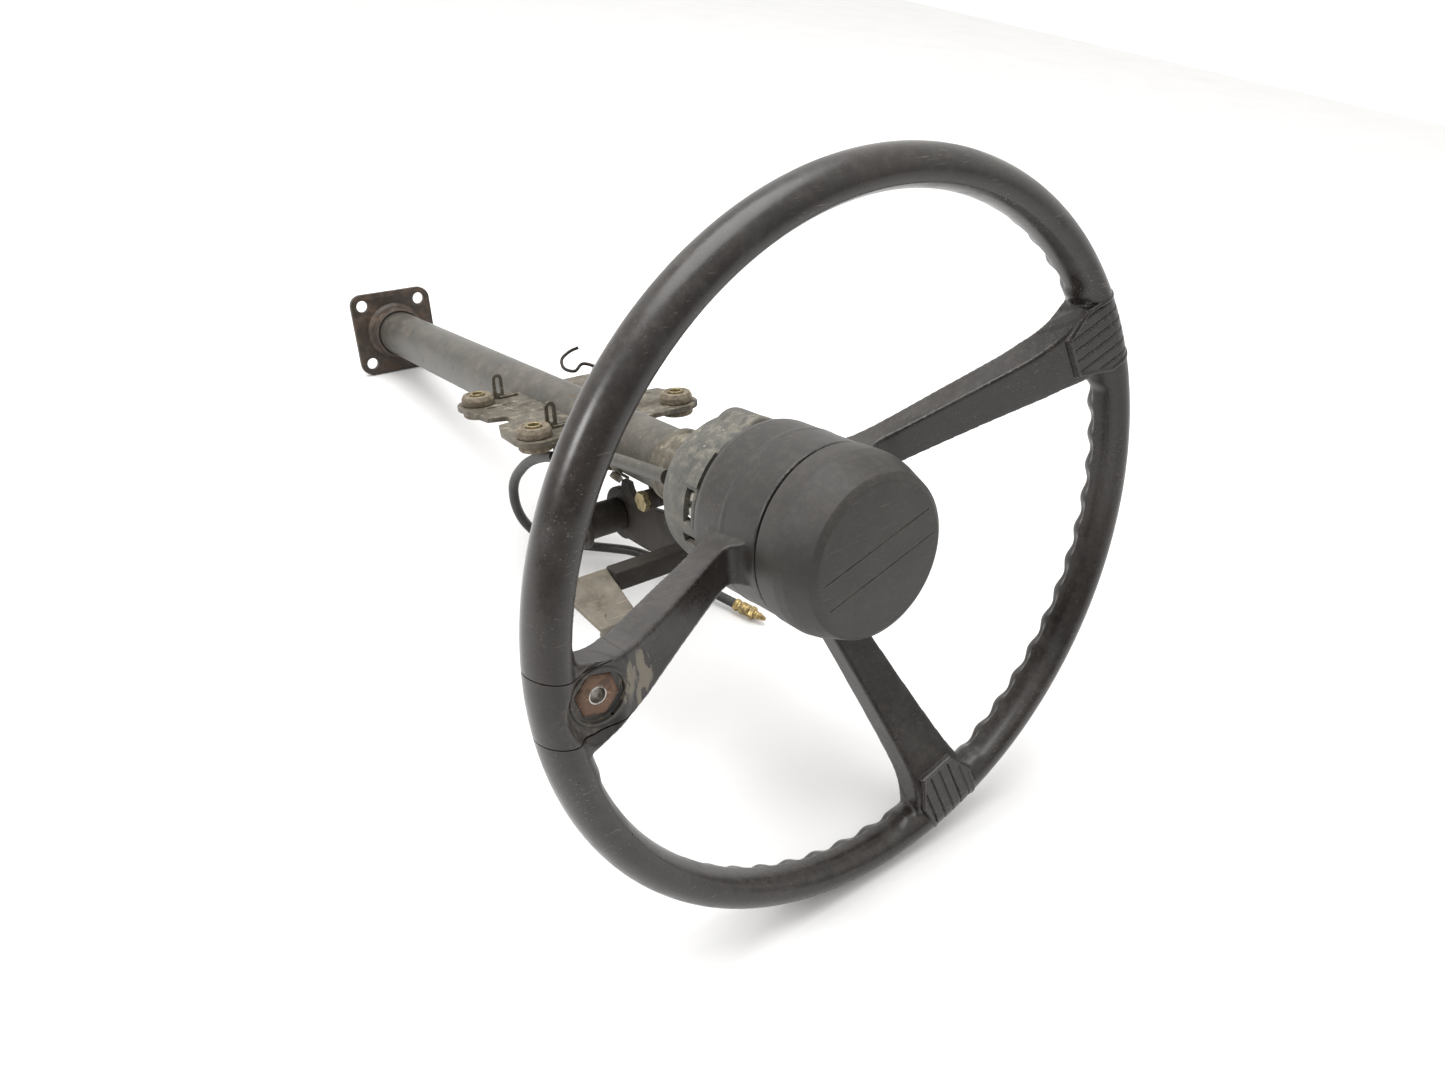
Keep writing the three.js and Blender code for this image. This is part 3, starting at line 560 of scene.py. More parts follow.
def moulded(name):
    """Dark plastic: glossy from hands on the rim, dull at the hub, peeled beside the knob's seat."""
    made = Finish(name, (0.0128, 0.0101, 0.0094), 0.27)
    made.clouds((0.024, 0.0185, 0.0165), 50, 0.4, edge=0.2, detail=5)
    made.clouds((0.03, 0.027, 0.025), 22, 0.3, rough=0.42, edge=0.12, detail=7, blur=0.65)
    made.clouds((0.05, 0.04, 0.034), 6, 0.01, rough=0.55, edge=0.05, detail=8, blur=0.7)
    made.layer(made.near(COLUMN @ Vector((0, 66, 0)), 88), (0.029, 0.0264, 0.0242), 0.5)
    made.scratches(PALE_SCRATCH, 0.5, rough=0.5)
    made.dust(BEIGE_DUST, 0.06, size=5)
    made.worn_edges((0.075, 0.062, 0.052), 0.45, rough=0.35)
    for along, across, reach_mm in ((138, 0, 17), (127, 5, 12)):
        flakes = made.between(made.noise(8, detail=6, blur=0.6, twist=0.5, stretch=(1, 1, 0.4)), 0.47, 0.5)
        peeled = made.math("MULTIPLY", flakes, made.near(in_wheel(along, across), reach_mm))
        made.layer(made.between(peeled, 0.3, 0.5), (0.17, 0.15, 0.115), 0.6, height=-0.5)
    made.sheen_varies(30, 0.16)
    made.grain(0.7, 0.05)
    return made


def cover_plastic():
    """The cover's plastic is duller round the knob's seat, where a knob's base used to sit."""
    made = moulded("cover_plastic")
    seat = made.near(COLUMN @ KNOB_SEAT, 22)
    made.layer(seat, (0.05, 0.045, 0.04), 0.5)
    smudges = made.between(made.noise(3, detail=7, blur=0.65), 0.52, 0.6)
    made.layer(made.math("MULTIPLY", smudges, seat), (0.12, 0.1, 0.08), 0.7)
    return made.done()


def pad_plastic():
    made = Finish("pad_plastic", (0.03, 0.027, 0.025), 0.55)
    made.clouds((0.042, 0.038, 0.034), 35, 0.4, edge=0.2, detail=5)
    made.clouds((0.07, 0.06, 0.05), 5, 0.06, detail=8, blur=0.7)
    made.scratches(PALE_SCRATCH, 0.3, length=12)
    made.dust(BEIGE_DUST, 0.06, size=4)
    made.worn_edges((0.12, 0.11, 0.1), 0.6)
    made.sheen_varies(25, 0.15)
    made.grain(0.9, 0.5, detail=5)
    return made.done()


def housing_plastic():
    made = Finish("housing_plastic", (0.06, 0.06, 0.054), 0.55)
    made.clouds((0.1, 0.097, 0.083), 11, 0.4, rough=0.8, edge=0.12, detail=8, blur=0.65)
    made.clouds((0.28, 0.26, 0.2), 6, 0.12, rough=0.9, height=0.2, edge=0.035, detail=9, blur=0.7)
    made.clouds((0.4, 0.37, 0.29), 3.4, 0.07, rough=0.95, height=0.4, edge=0.04, detail=6, blur=0.6)
    made.scratches((0.3, 0.28, 0.23), 0.5, length=14)
    made.dust(BEIGE_DUST, 0.45, size=7)
    made.grain(0.7, 0.5)
    return made.done()


def column_paint():
    made = Finish("column_paint", (0.046, 0.044, 0.038), 0.4)
    made.clouds((0.066, 0.058, 0.047), 40, 0.4, edge=0.2, detail=5)
    made.clouds((0.085, 0.05, 0.032), 9, 0.16, rough=0.7, height=0.4, edge=0.04, detail=8, blur=0.65)
    made.clouds((0.3, 0.26, 0.19), 5, 0.08, rough=0.95, height=0.3, edge=0.04, detail=9, blur=0.7)
    made.scratches((0.3, 0.27, 0.21), 0.6, length=18)
    made.dust(BEIGE_DUST, 0.2, size=12)
    made.worn_edges(RUST, 0.7, rough=0.8, width=1.2)
    made.grain(1.2, 0.35)
    return made.done()


def lever_paint():
    """Pale weathered paint with long scratches."""
    made = Finish("lever_paint", (0.15, 0.13, 0.1), 0.6)
    made.clouds((0.09, 0.075, 0.055), 12, 0.4, rough=0.75, edge=0.12, detail=7)
    made.clouds((0.09, 0.05, 0.03), 4, 0.1, rough=0.85, height=0.4, edge=0.05, detail=8)
    made.scratches((0.42, 0.39, 0.32), 0.9, length=24, turns=((0, 0, 40), (50, 10, -20), (20, 60, 10)))
    made.dust(BEIGE_DUST, 0.4, size=6)
    made.worn_edges((0.3, 0.27, 0.2), 0.7, rough=0.6)
    made.grain(0.9, 0.5)
    return made.done()


def flange_paint():
    made = Finish("flange_paint", (0.034, 0.024, 0.018), 0.5)
    made.clouds((0.07, 0.045, 0.03), 12, 0.35, rough=0.75, edge=0.1, detail=7)
    made.clouds(RUST, 5, 0.12, rough=0.85, height=0.5, edge=0.05, detail=8, blur=0.65)
    made.dust(BEIGE_DUST, 0.1, size=6)
    made.worn_edges((0.16, 0.11, 0.075), 0.7, rough=0.6, width=1.0)
    made.grain(0.9, 0.5)
    return made.done()


def bracket_steel():
    made = Finish("bracket_steel", (0.1, 0.088, 0.066), 0.5, metal=0.25)
    made.clouds((0.055, 0.045, 0.033), 14, 0.4, rough=0.7, edge=0.12, detail=7)
    made.clouds((0.22, 0.195, 0.15), 6, 0.25, rough=0.85, edge=0.07, detail=8, blur=0.65)
    made.clouds((0.1, 0.055, 0.032), 4, 0.1, rough=0.85, height=0.4, edge=0.05, detail=8)
    made.dust(BEIGE_DUST, 0.3, size=6)
    made.worn_edges((0.3, 0.26, 0.19), 0.7, rough=0.45, metal=0.6)
    made.grain(0.8, 0.5)
    return made.done()


def rusty_steel():
    made = Finish("rusty_steel", (0.017, 0.0118, 0.008), 0.68)
    made.clouds((0.01, 0.007, 0.005), 12, 0.4, rough=0.75, edge=0.12, detail=7)
    made.clouds((0.045, 0.027, 0.016), 5, 0.2, rough=0.85, height=0.4, edge=0.06, detail=9, blur=0.7)
    made.clouds((0.12, 0.09, 0.06), 3, 0.05, rough=0.9, edge=0.04, detail=8)
    made.dust(BEIGE_DUST, 0.05, size=6)
    made.worn_edges((0.17, 0.14, 0.105), 0.6, rough=0.45, metal=0.6)
    made.grain(0.6, 0.6, detail=6)
    return made.done()


def orange_rust():
    made = Finish("orange_rust", (0.165, 0.098, 0.064), 0.7, metal=0.2)
    made.clouds((0.09, 0.052, 0.036), 5, 0.4, edge=0.1, detail=8)
    made.clouds((0.32, 0.19, 0.12), 2.4, 0.18, rough=0.9, height=0.6, edge=0.05, detail=8)
    made.worn_edges((0.34, 0.24, 0.17), 0.6, rough=0.5, metal=0.6)
    made.grain(0.5, 1.0, detail=6)
    return made.done()


def bright_steel():
    made = Finish("bright_steel", (0.42, 0.4, 0.37), 0.32, metal=1.0)
    made.clouds((0.2, 0.17, 0.14), 3, 0.25, rough=0.55, edge=0.12, detail=7)
    made.clouds((0.16, 0.09, 0.05), 1.6, 0.1, rough=0.8, edge=0.05, detail=8)
    made.scratches((0.6, 0.57, 0.52), 0.5, length=6)
    made.grain(0.3, 0.4)
    return made.done()


def zinc_yellow():
    made = Finish("zinc_yellow", (0.34, 0.28, 0.15), 0.38, metal=0.8)
    made.clouds((0.13, 0.1, 0.06), 4, 0.35, rough=0.65, edge=0.1, detail=7)
    made.clouds(RUST, 2, 0.1, rough=0.85, edge=0.05, detail=8)
    made.dust(BEIGE_DUST, 0.2, size=3)
    made.worn_edges((0.4, 0.34, 0.22), 0.6, rough=0.35)
    made.grain(0.4, 0.5)
    return made.done()


def isolator_rubber():
    made = Finish("isolator_rubber", (0.1, 0.078, 0.052), 0.8)
    made.clouds((0.2, 0.165, 0.115), 5, 0.45, edge=0.12, detail=8, blur=0.65)
    made.clouds((0.05, 0.038, 0.027), 3, 0.2, edge=0.07, detail=7)
    made.dust(BEIGE_DUST, 0.45, size=3)
    made.worn_edges((0.28, 0.24, 0.17), 0.6)
    made.grain(0.6, 0.8, detail=5)
    return made.done()


def hose_rubber():
    made = Finish("hose_rubber", (0.008, 0.0074, 0.007), 0.42)
    made.clouds((0.022, 0.02, 0.018), 8, 0.3, rough=0.5, edge=0.12, detail=7)
    made.dust(BEIGE_DUST, 0.1, size=3)
    made.scratches((0.12, 0.11, 0.09), 0.4, length=8)
    made.sheen_varies(10, 0.2)
    made.grain(0.5, 0.2)
    return made.done()


def brass():
    made = Finish("brass", (0.42, 0.31, 0.13), 0.38, metal=0.9)
    made.clouds((0.2, 0.15, 0.08), 3, 0.4, rough=0.6, edge=0.12, detail=7)
    made.dust(BEIGE_DUST, 0.25, size=2.5)
    made.worn_edges((0.6, 0.5, 0.3), 0.6, rough=0.3)
    made.grain(0.4, 0.4)
    return made.done()


def white_plastic():
    made = Finish("white_plastic", (0.62, 0.6, 0.55), 0.45)
    made.clouds((0.38, 0.33, 0.25), 4, 0.25, rough=0.7, edge=0.12, detail=7)
    made.scratches((0.25, 0.2, 0.15), 0.5, length=7)
    made.dust((0.25, 0.2, 0.14), 0.3, size=3)
    made.grain(0.5, 0.3)
    return made.done()


def black_plastic():
    made = Finish("black_plastic", (0.012, 0.012, 0.012), 0.5)
    made.clouds((0.03, 0.028, 0.025), 7, 0.3, rough=0.7, edge=0.12, detail=7)
    made.dust(BEIGE_DUST, 0.2, size=4)
    made.grain(0.5, 0.4)
    return made.done()


def floor_paint():
    """A plain white table top with the faintest unevenness."""
    made = Finish("floor_paint", (0.88, 0.88, 0.88), 0.55)
    made.clouds((0.85, 0.85, 0.85), 120, 0.4, edge=0.2, detail=4)
    made.grain(3, 0.1)
    return made.done()


FINISHES = {"wheel_plastic": moulded("wheel_plastic").done()}
for finish_of in (
    pad_plastic, housing_plastic, column_paint, bracket_steel, rusty_steel, zinc_yellow,
    bright_steel, isolator_rubber, hose_rubber, brass, white_plastic, black_plastic,
):
    FINISHES[finish_of.__name__] = finish_of()


# ------------------------------------------------------------------ steering wheel
RIM_HALF_WIDTH = 10.2
RIM_HALF_DEPTH = 11.8
RIM_MIDDLE = reach("wheel_moulding") - RIM_HALF_WIDTH - 0.45  # leaves room for raised relief
KNOB = sum(span("knob_mount_bush", WHEEL), Vector()) / 2
SCALLOPS = 56  # finger hollows round the whole rim
BAND = (122, 238)  # the rim's inner band, as angles of the rim's section: 0 outside, 90 front, 180 inside
RIB_PITCH = 6.8

# Outlines of the ribbed pads where two spokes meet the rim: along the spoke from the axis, and across it.
RIGHT_PAD = ((150, -9), (150, 15), (165, 24), (200, 19), (200, -18), (170, -20))
LOWER_PAD = ((150, -12), (150, 11), (166, 20), (200, 17), (200, -12), (166, -19))
RIB_PADS = {RIGHT_SPOKE: RIGHT_PAD, LOWER_SPOKE: LOWER_PAD}
PAD_FACE = ((152, -6.2), (176, -11.6), (189, 0))  # the pads' front faces, as y at distances along the spoke
BORDER_HEIGHT, GROOVE_DEPTH = 0.55, 1.0
SEAT_FRONT = span("knob_mount_hex", WHEEL)[0].y - 1.2
SEAT_RADIUS = 13.6

BAND_DEPTH, SCALLOP_DEPTH = 1.5, 2.0
SCALLOP_ARC = (220, 262)  # where the hollows lie on the rim's section
PLAIN_ANGLE = 12  # the band and the hollows stay this many degrees away from a spoke
HUB_RIDGE, HUB_RIDGE_HEIGHT = (64, 65.5), 0.35  # a faint ridge round the hub


def eased(share):
    share = np.clip(share, 0, 1)
    return share * share * (3 - 2 * share)


def above(value, low, soft):
    """1 above low, falling smoothly to 0 over `soft` below it."""
    return eased((value - low + soft) / soft)


def below(value, high, soft):
    """1 below high, falling smoothly to 0 over `soft` above it."""
    return eased((high + soft - value) / soft)


def window(value, low, high, soft):
    """1 between low and high, falling smoothly to 0 over `soft` on either side."""
    return np.minimum(above(value, low, soft), below(value, high, soft))


def rim():
    """A ring with an oval section."""
    section = [
        (RIM_MIDDLE + RIM_HALF_WIDTH * math.cos(a), RIM_HALF_DEPTH * math.sin(a))
        for a in np.linspace(0, 2 * math.pi, 40, endpoint=False)
    ]
    angles = np.linspace(0, 2 * math.pi, 220, endpoint=False)
    return lofted([[(r * math.cos(a), y, r * math.sin(a)) for r, y in section] for a in angles], wrap=True)


def smooth_rows(rows, steps):
    """Rows of numbers with more rows in between, along a smooth curve through them."""
    path = through([Vector(row) for row in rows], steps)
    return [tuple(p) for p in path]


def spoke(degrees):
    """A beam that dips from the rim back to the hub and flares at both ends, more on its upper side."""
    stations = [  # radius, front face, depth and half width
        (46, 41, 35, 13.5),
        (50, 45, 30, 12.2),
        (54, 49.4, 23, 11.2),
        (60, 48.6, 20, 10.6),
        (72, 41.8, 20, 10.6),
        (105, 22.5, 22, 12),
        (140, 2, 23, 14.5),
        (158, -6, 20, 18.5),
        (180, -8.6, 18, 26),
    ]
    taper, edge = 0.84, 1.3
    rings = []
    for r, front, depth, half in smooth_rows(stations, 5):
        rear, rear_half = front + depth, taper * half
        corners = [(-half, front), (half, front), (rear_half, rear), (-rear_half, rear)]
        flare = np.interp(r, (135, 180), (0, UPWARD_FLARE[degrees]))
        rings.append([(r, y, z + flare) for z, y in rounded(corners, edge)])
    return moved(lofted(rings), about_y(degrees))


def hub_shell():
    """The cup behind the horn pad, closed by a web with a hole for the boss."""
    front, rear = 37.5, span("wheel_moulding", WHEEL)[1].y - 2
    web_front, web_rear, hole = 60, 66, 19
    outer = reach("horn_pad")
    inner = outer - 4
    return turned(
        [
            (outer - 0.6, front), (outer, rear - 4), (outer - 1, rear), (inner, rear),
            (inner, web_rear), (hole, web_rear), (hole, web_front), (inner, web_front), (inner, front),
        ],
        segments=128,
    )


def skin_of(made):
    """The corners and normals of a mesh as arrays."""
    count = len(made.data.vertices)
    corners, normals = np.empty(count * 3), np.empty(count * 3)
    made.data.vertices.foreach_get("co", corners)
    made.data.vertices.foreach_get("normal", normals)
    return corners.reshape(-1, 3), normals.reshape(-1, 3)


def from_spokes(angle):
    """Degrees to the nearest spoke."""
    return np.min([np.abs((angle - s + 180) % 360 - 180) for s in SPOKES], axis=0)


def level(made):
    """Raises the ribbed pads to the rim's crest and flattens the moulding round the knob's seat."""
    corners, normals = skin_of(made)
    facing = below(normals[:, 1], -0.45, 0.35)
    for degrees, outline in RIB_PADS.items():
        along, across = along_and_across(corners, degrees)
        lift = np.minimum(np.interp(along, *zip(*PAD_FACE)) - corners[:, 1], 0)
        share = above(depth_inside(along, across, outline), 0.8, 1.0) * window(lift, -3.2, 1, 2)
        corners[:, 1] += facing * lift * share
    from_knob = np.hypot(corners[:, 0] - KNOB.x, corners[:, 2] - KNOB.z)
    lift = SEAT_FRONT - corners[:, 1]
    share = below(from_knob, SEAT_RADIUS + GAP, 6) * window(lift, -3, 9, 3)
    corners[:, 1] += facing * lift * share
    made.data.vertices.foreach_set("co", corners.ravel())
    made.data.update()
    return made


def sculpt(made):
    """Works the fine relief of the moulding into its skin, along the skin's normals."""
    corners, normals = skin_of(made)
    x, y, z = corners.T
    angle = np.degrees(np.arctan2(z, x))
    radius = np.hypot(x, z)
    section = np.degrees(np.arctan2(-y, radius - RIM_MIDDLE)) % 360
    clear = above(from_spokes(angle), PLAIN_ANGLE, 2.5) * (radius > RIM_MIDDLE - 14)

    across_band = np.clip((section - BAND[0]) / (BAND[1] - BAND[0]), 0, 1)
    relief = -BAND_DEPTH * clear * np.sin(np.pi * across_band) ** 0.7
    hollow = 0.5 + 0.5 * np.cos(np.radians(angle) * SCALLOPS)
    relief -= SCALLOP_DEPTH * clear * hollow * window(section, *SCALLOP_ARC, 17)
    for degrees, outline in RIB_PADS.items():
        relief += ribs(corners, normals, degrees, outline)
    on_hub = (np.abs(radius - reach("horn_pad")) < 2) * above(from_spokes(angle), PLAIN_ANGLE + 4, 4)
    relief += HUB_RIDGE_HEIGHT * on_hub * window(y, *HUB_RIDGE, 1.2)
    corners += normals * relief[:, None]
    made.data.vertices.foreach_set("co", corners.ravel())
    made.data.update()
    return made


def along_and_across(corners, degrees):
    """Distances along a spoke from the axis, and across it."""
    a = math.radians(degrees)
    along = corners[:, 0] * math.cos(a) + corners[:, 2] * math.sin(a)
    across = corners[:, 2] * math.cos(a) - corners[:, 0] * math.sin(a)
    return along, across


def depth_inside(along, across, outline):
    """How far points lie inside a convex outline."""
    depths = []
    middle = np.mean(outline, axis=0)
    for (a0, c0), (a1, c1) in zip(outline, (*outline[1:], outline[0])):
        length = math.hypot(a1 - a0, c1 - c0)
        inward = np.array((c0 - c1, a1 - a0)) / length
        inward *= np.sign(inward @ (middle - (a0, c0)))
        depths.append((along - a0) * inward[0] + (across - c0) * inward[1])
    return np.min(depths, axis=0)


def ribs(corners, normals, degrees, outline):
    """Narrow grooves along the spoke, within a raised border, on the side that faces the driver."""
    along, across = along_and_across(corners, degrees)
    depth = depth_inside(along, across, outline)
    facing = below(normals[:, 1], 0.1, 0.3)
    from_groove = np.abs((across / RIB_PITCH + 0.5) % 1 - 0.5) * RIB_PITCH
    groove = below(from_groove, 0.35, 0.75) * above(depth, 3.0, 1.0)
    border = window(depth, 0.3, 1.5, 0.7)
    return facing * (BORDER_HEIGHT * border - GROOVE_DEPTH * groove)


def in_a_rib_pad(corners):
    chosen = np.zeros(len(corners), bool)
    for degrees, outline in RIB_PADS.items():
        along, across = along_and_across(corners, degrees)
        chosen |= (depth_inside(along, across, outline) > -1.5) & (corners[:, 1] < 2)
    return chosen


def knob_region(margin):
    """The end of the knob's spoke, with the stretch of rim round it, as a block with slanting sides."""
    start, beyond_rim = 143 - 0.3 * margin, 205
    outline = [
        (start, -17.5 - margin), (164, -18.6 - margin), (beyond_rim, -34 - margin),
        (beyond_rim, -1 + margin), (166, 10.8 + margin), (start, 12.6 + margin),
    ]
    block = lofted([[(x, y, z) for x, z in outline] for y in (-40, 50)])
    return moved(block, about_y(KNOB_SPOKE))


def at_knob(made):
    return moved(made, shift(KNOB.x, 0, KNOB.z))


def add_wheel():
    solid = fused(rim(), hub_shell(), *[spoke(s) for s in SPOKES], grain=1.0, smooth=4)
    refined(solid, in_a_rib_pad, cuts=2)
    sculpt(level(solid))
    cover = duplicate(solid)
    combined(cover, "INTERSECT", knob_region(-GAP))
    cut(solid, knob_region(GAP))
    piece(solid, "wheel", "wheel_plastic", "wheel_moulding", axes=WHEEL, crease=40)
    add_knob_seat(cover)


def add_knob_seat(cover):
    """The spoke's end cover with a round seat for a spinner knob, its hexagonal insert and its bush."""
    low, high = span("knob_mount_hex", WHEEL)
    bush_low, bush_high = span("knob_mount_bush", WHEEL)
    bush_radius = (bush_high.x - bush_low.x) / 2
    hex_radius = (high.z - low.z) / 2
    front, lip_width, clear_of_all = SEAT_FRONT - 0.5, 1.5, -45

    boss = disc(SEAT_RADIUS, front, low.y + 13, segments=96, radius=0.5)
    hollow = disc(SEAT_RADIUS - lip_width, clear_of_all, low.y + 0.9, segments=96, radius=0.8)
    hex_hole = moved(hexagon(hex_radius + 0.2, clear_of_all, high.y + GAP), HEX_TURN)
    bush_hole = disc(bush_radius + GAP, clear_of_all, 60, segments=32, radius=0)
    combined(cover, "UNION", at_knob(boss))
    cut(cover, *[at_knob(tool) for tool in (hollow, hex_hole, bush_hole)])
    paint = cover_plastic()
    piece(cover, "wheel", "wheel_plastic", "knob_spoke_cover", axes=WHEEL, crease=40, paint=paint)

    seat = moved(hexagon(hex_radius, low.y, high.y), HEX_TURN)
    cut(seat, disc(bush_radius + 0.1, low.y - 5, high.y + 5, segments=32, radius=0))
    piece(at_knob(seat), "wheel", "rusty_steel", "knob_mount_hex", axes=WHEEL, paint=orange_rust())
    bush = ring(bush_radius - 0.85, bush_radius - 0.05, bush_low.y, bush_high.y, segments=48, radius=0.2)
    piece(at_knob(bush), "wheel", "bright_steel", "knob_mount_bush", axes=WHEEL)


# ------------------------------------------------------------------ horn pad
def add_horn_pad():
    low, high = span("horn_pad", WHEEL)
    outer, face, wall = reach("horn_pad"), 41, 3.2
    inner = outer - wall
    pad = turned(
        [
            (0, low.y), (face - 1, low.y), (face + 2.6, low.y + 2.4), (outer - 1.3, low.y + 16),
            (outer, low.y + 22), (outer, high.y), (outer - 4.7, high.y), (outer - 4.7, high.y + 4),
            (outer - 6.7, high.y + 4), (outer - 6.7, high.y - 3), (inner, high.y - 8),
            (face - 2, low.y + 5), (0, low.y + 5),
        ],
        segments=160,
        radius=1.6,
    )
    line_offset, line_width, line_depth = 7.5, 0.56, 0.4
    for z in (-line_offset, line_offset):
        half_length = 0.95 * math.sqrt((face - 2) ** 2 - z ** 2)
        sides = (low.y - 2, low.y + line_depth), (z - line_width / 2, z + line_width / 2)
        cut(pad, box((-half_length, half_length), *sides))
    piece(pad, "horn", "pad_plastic", "horn_pad", axes=WHEEL, crease=30)


def add_horn_spring():
    """An open coil that stands on the hub."""
    low, high = span("horn_spring", WHEEL)
    wire, turns, steps = 0.9, 3, 24
    coil = (high.x - low.x) / 2 - wire
    path = []
    for share in np.linspace(0, 1, turns * steps + 1):
        a = 2 * math.pi * turns * share
        height = low.y + wire + share * (high.y - low.y - 2 * wire)
        path.append((coil * math.cos(a), height, coil * math.sin(a)))
    coiled = rod(path, wire, sides=3, smooth=1)
    spring = piece(coiled, "wheel", "bright_steel", "horn_spring", axes=WHEEL, crease=60)
    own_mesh(spring)


# ------------------------------------------------------------------ tube, collar and flange
def add_tube():
    low, high = span("column_tube")
    radius, wall = reach("column_tube"), 2.5
    tube = ring(radius - wall, radius, low.y, high.y, segments=96, radius=0.5)
    piece(tube, "column", "column_paint", "column_tube")

    low, high = span("bearing_collar")
    outer, inner = reach("bearing_collar"), radius + GAP
    collar = turned(
        [
            (inner, low.y), (outer - 0.6, low.y), (outer, low.y + 3), (outer, low.y + 9),
            (outer - 0.8, low.y + 10.5), (outer - 0.8, high.y - 9), (outer, high.y - 7.5),
            (outer, high.y - 2), (outer - 1.2, high.y), (inner, high.y),
        ],
        segments=96,
    )
    piece(collar, "column", "rusty_steel", "bearing_collar", paint=FINISHES["bracket_steel"])

    low, high = span("flange_collar")
    outer = reach("flange_collar")
    weld = turned(
        [
            (inner, low.y), (radius + 2.5, low.y), (radius + 3.2, low.y + 6),
            (outer - 2.5, high.y - 4), (outer, high.y - 0.8), (outer, high.y), (inner, high.y),
        ],
        segments=96,
        radius=1.2,
    )
    piece(weld, "column", "column_paint", "flange_collar", paint=FLANGE_PAINT)


def add_flange():
    low, high = span("mounting_flange")
    half, corner, hole, spacing = (high.x - low.x) / 2, 11, 5.5, 28
    c = half - corner
    outline = []
    for start, (sx, sz) in zip((0, 90, 180, 270), ((1, 1), (-1, 1), (-1, -1), (1, -1))):
        outline += arc((sx * c, sz * c), corner, start, start + 90, 10)
    holes = [circle(sx * spacing, sz * spacing, hole) for sx in (-1, 1) for sz in (-1, 1)]
    holes.append(circle(0, 0, reach("column_tube") + GAP, 80))
    flange = plate(outline, holes, high.y - low.y, edge=0.6)
    middle = shift(y=(low.y + high.y) / 2)
    piece(moved(flange, ACROSS_Y, middle), "column", "column_paint", "mounting_flange", paint=FLANGE_PAINT)

    low, high = span("spline_coupling")
    sleeve = ring(6.5, reach("spline_coupling"), low.y, high.y, segments=64)
    piece(sleeve, "wheel", "bright_steel", "spline_coupling")


# ------------------------------------------------------------------ switch housing
def wedge(start, stop, inner, outer, front, rear, steps=24):
    """A block of the ring round the column, between two angles."""
    section = ((inner, front), (outer, front), (outer, rear), (inner, rear))
    rings = []
    for degrees in np.linspace(start, stop, steps):
        c, s = math.cos(math.radians(degrees)), math.sin(math.radians(degrees))
        rings.append([(r * c, y, r * s) for r, y in section])
    return lofted(rings)


WINDOW = (157, 181)  # the opening for the stalk's socket, in degrees round the column
LOBE_ANGLE, LOBE_OFFSET, LOBE_RADIUS, LOBE_LENGTH = 88, 35.2, 14, 28.5  # a round bulge on the housing's top


def housing_shell():
    low, high = span("housing_upper")
    front, rear, radius, wall, hole = low.y, high.y, 46, 3.2, 26
    shell = turned(
        [
            (radius, front),
            (radius, front + 20),
            (radius - 2, front + 32),
            (radius - 7, front + 40),
            (hole + 6, rear - 1),
            (hole, rear),
            (hole, rear - wall),
            (radius - 11, front + 36),
            (radius - wall, front + 19),
            (radius - wall, front),
        ],
        segments=120,
        radius=1.5,
    )
    lobe = moved(
        disc(LOBE_RADIUS, front + 1, front + LOBE_LENGTH, segments=64, radius=2.5),
        shift(LOBE_OFFSET),
        about_y(LOBE_ANGLE),
    )
    cavity = turned(
        [
            (0, front - 5), (radius - wall + 1, front - 5), (radius - wall + 1, front + 19),
            (radius - 8, front + 36), (hole + 4, rear + 5), (0, rear + 5),
        ],
        segments=96,
        radius=0.5,
    )
    return fused(shell, cut(lobe, cavity), grain=0.9, smooth=4)


def add_housing():
    low, high = span("housing_upper")
    front, rear = low.y, high.y
    shell = housing_shell()
    window_opening = wedge(*WINDOW, 34, 60, front + 2.5, front + 9.5)
    raised_panel = wedge(128, 154.5, 44, 47.3, front + 0.2, front + 15)
    notch = wedge(190, 197.5, 41, 60, front - 5, front + 12)
    cut(shell, window_opening)
    combined(shell, "UNION", raised_panel)
    cut(shell, notch)
    upper, seam = duplicate(shell), 35
    half_space = box((-90, 90), (front - 20, rear + 20), (GAP / 2, 120))
    combined(upper, "INTERSECT", moved(duplicate(half_space), about_y(seam)))
    combined(shell, "INTERSECT", moved(half_space, about_y(seam + 180)))
    screw_y = front + 12
    for i, degrees in enumerate((-105, -35)):
        hole = disc(2.6, 30, 60, segments=24, radius=0)
        cut(shell, moved(hole, ALONG_X, shift(y=screw_y), about_y(degrees)))
        screw = disc(4, 46.3, 48.6, segments=32, radius=0.8)
        slot = box((-5, 5), (47.7, 50), (-0.5, 0.5))
        stem = disc(2, 42, 46.5, segments=24, radius=0)
        screw = combined(cut(screw, slot), "UNION", stem)
        moved(screw, ALONG_X, shift(y=screw_y), about_y(degrees))
        piece(screw, "column", "bright_steel", f"housing_screw_{i + 1}")
    piece(upper, "column", "housing_plastic", "housing_upper", crease=40)
    piece(shell, "column", "housing_plastic", "housing_lower", crease=40)


def add_switch():
    low, high = span("signal_switch_body")
    front, rear = low.y, high.y
    body = ring(27, reach("signal_switch_body"), front, rear, segments=96)
    cut(body, wedge(WINDOW[0] - 8, WINDOW[1] + 8, 30.5, 60, front - 5, rear + 5))
    piece(body, "column", "black_plastic", "signal_switch_body")

    low, high = span("stalk_socket")
    front, rear, middle = low.y, high.y, sum(WINDOW) / 2
    web = wedge(middle - 8, middle + 8, 31.6, 35, front, rear)
    prong = (32, 42.2), (front, rear), (-2.3, 2.3)
    prongs = [moved(box(*prong, bevel=0.5), about_y(middle + turn)) for turn in (-6, 6)]
    socket = combined(web, "UNION", *prongs)
    piece(socket, "switch", "white_plastic", "stalk_socket")


# ------------------------------------------------------------------ isolated mounting bracket
def centre_of(node, axes=COLUMN):
    low, high = span(node, axes)
    return (low + high) / 2


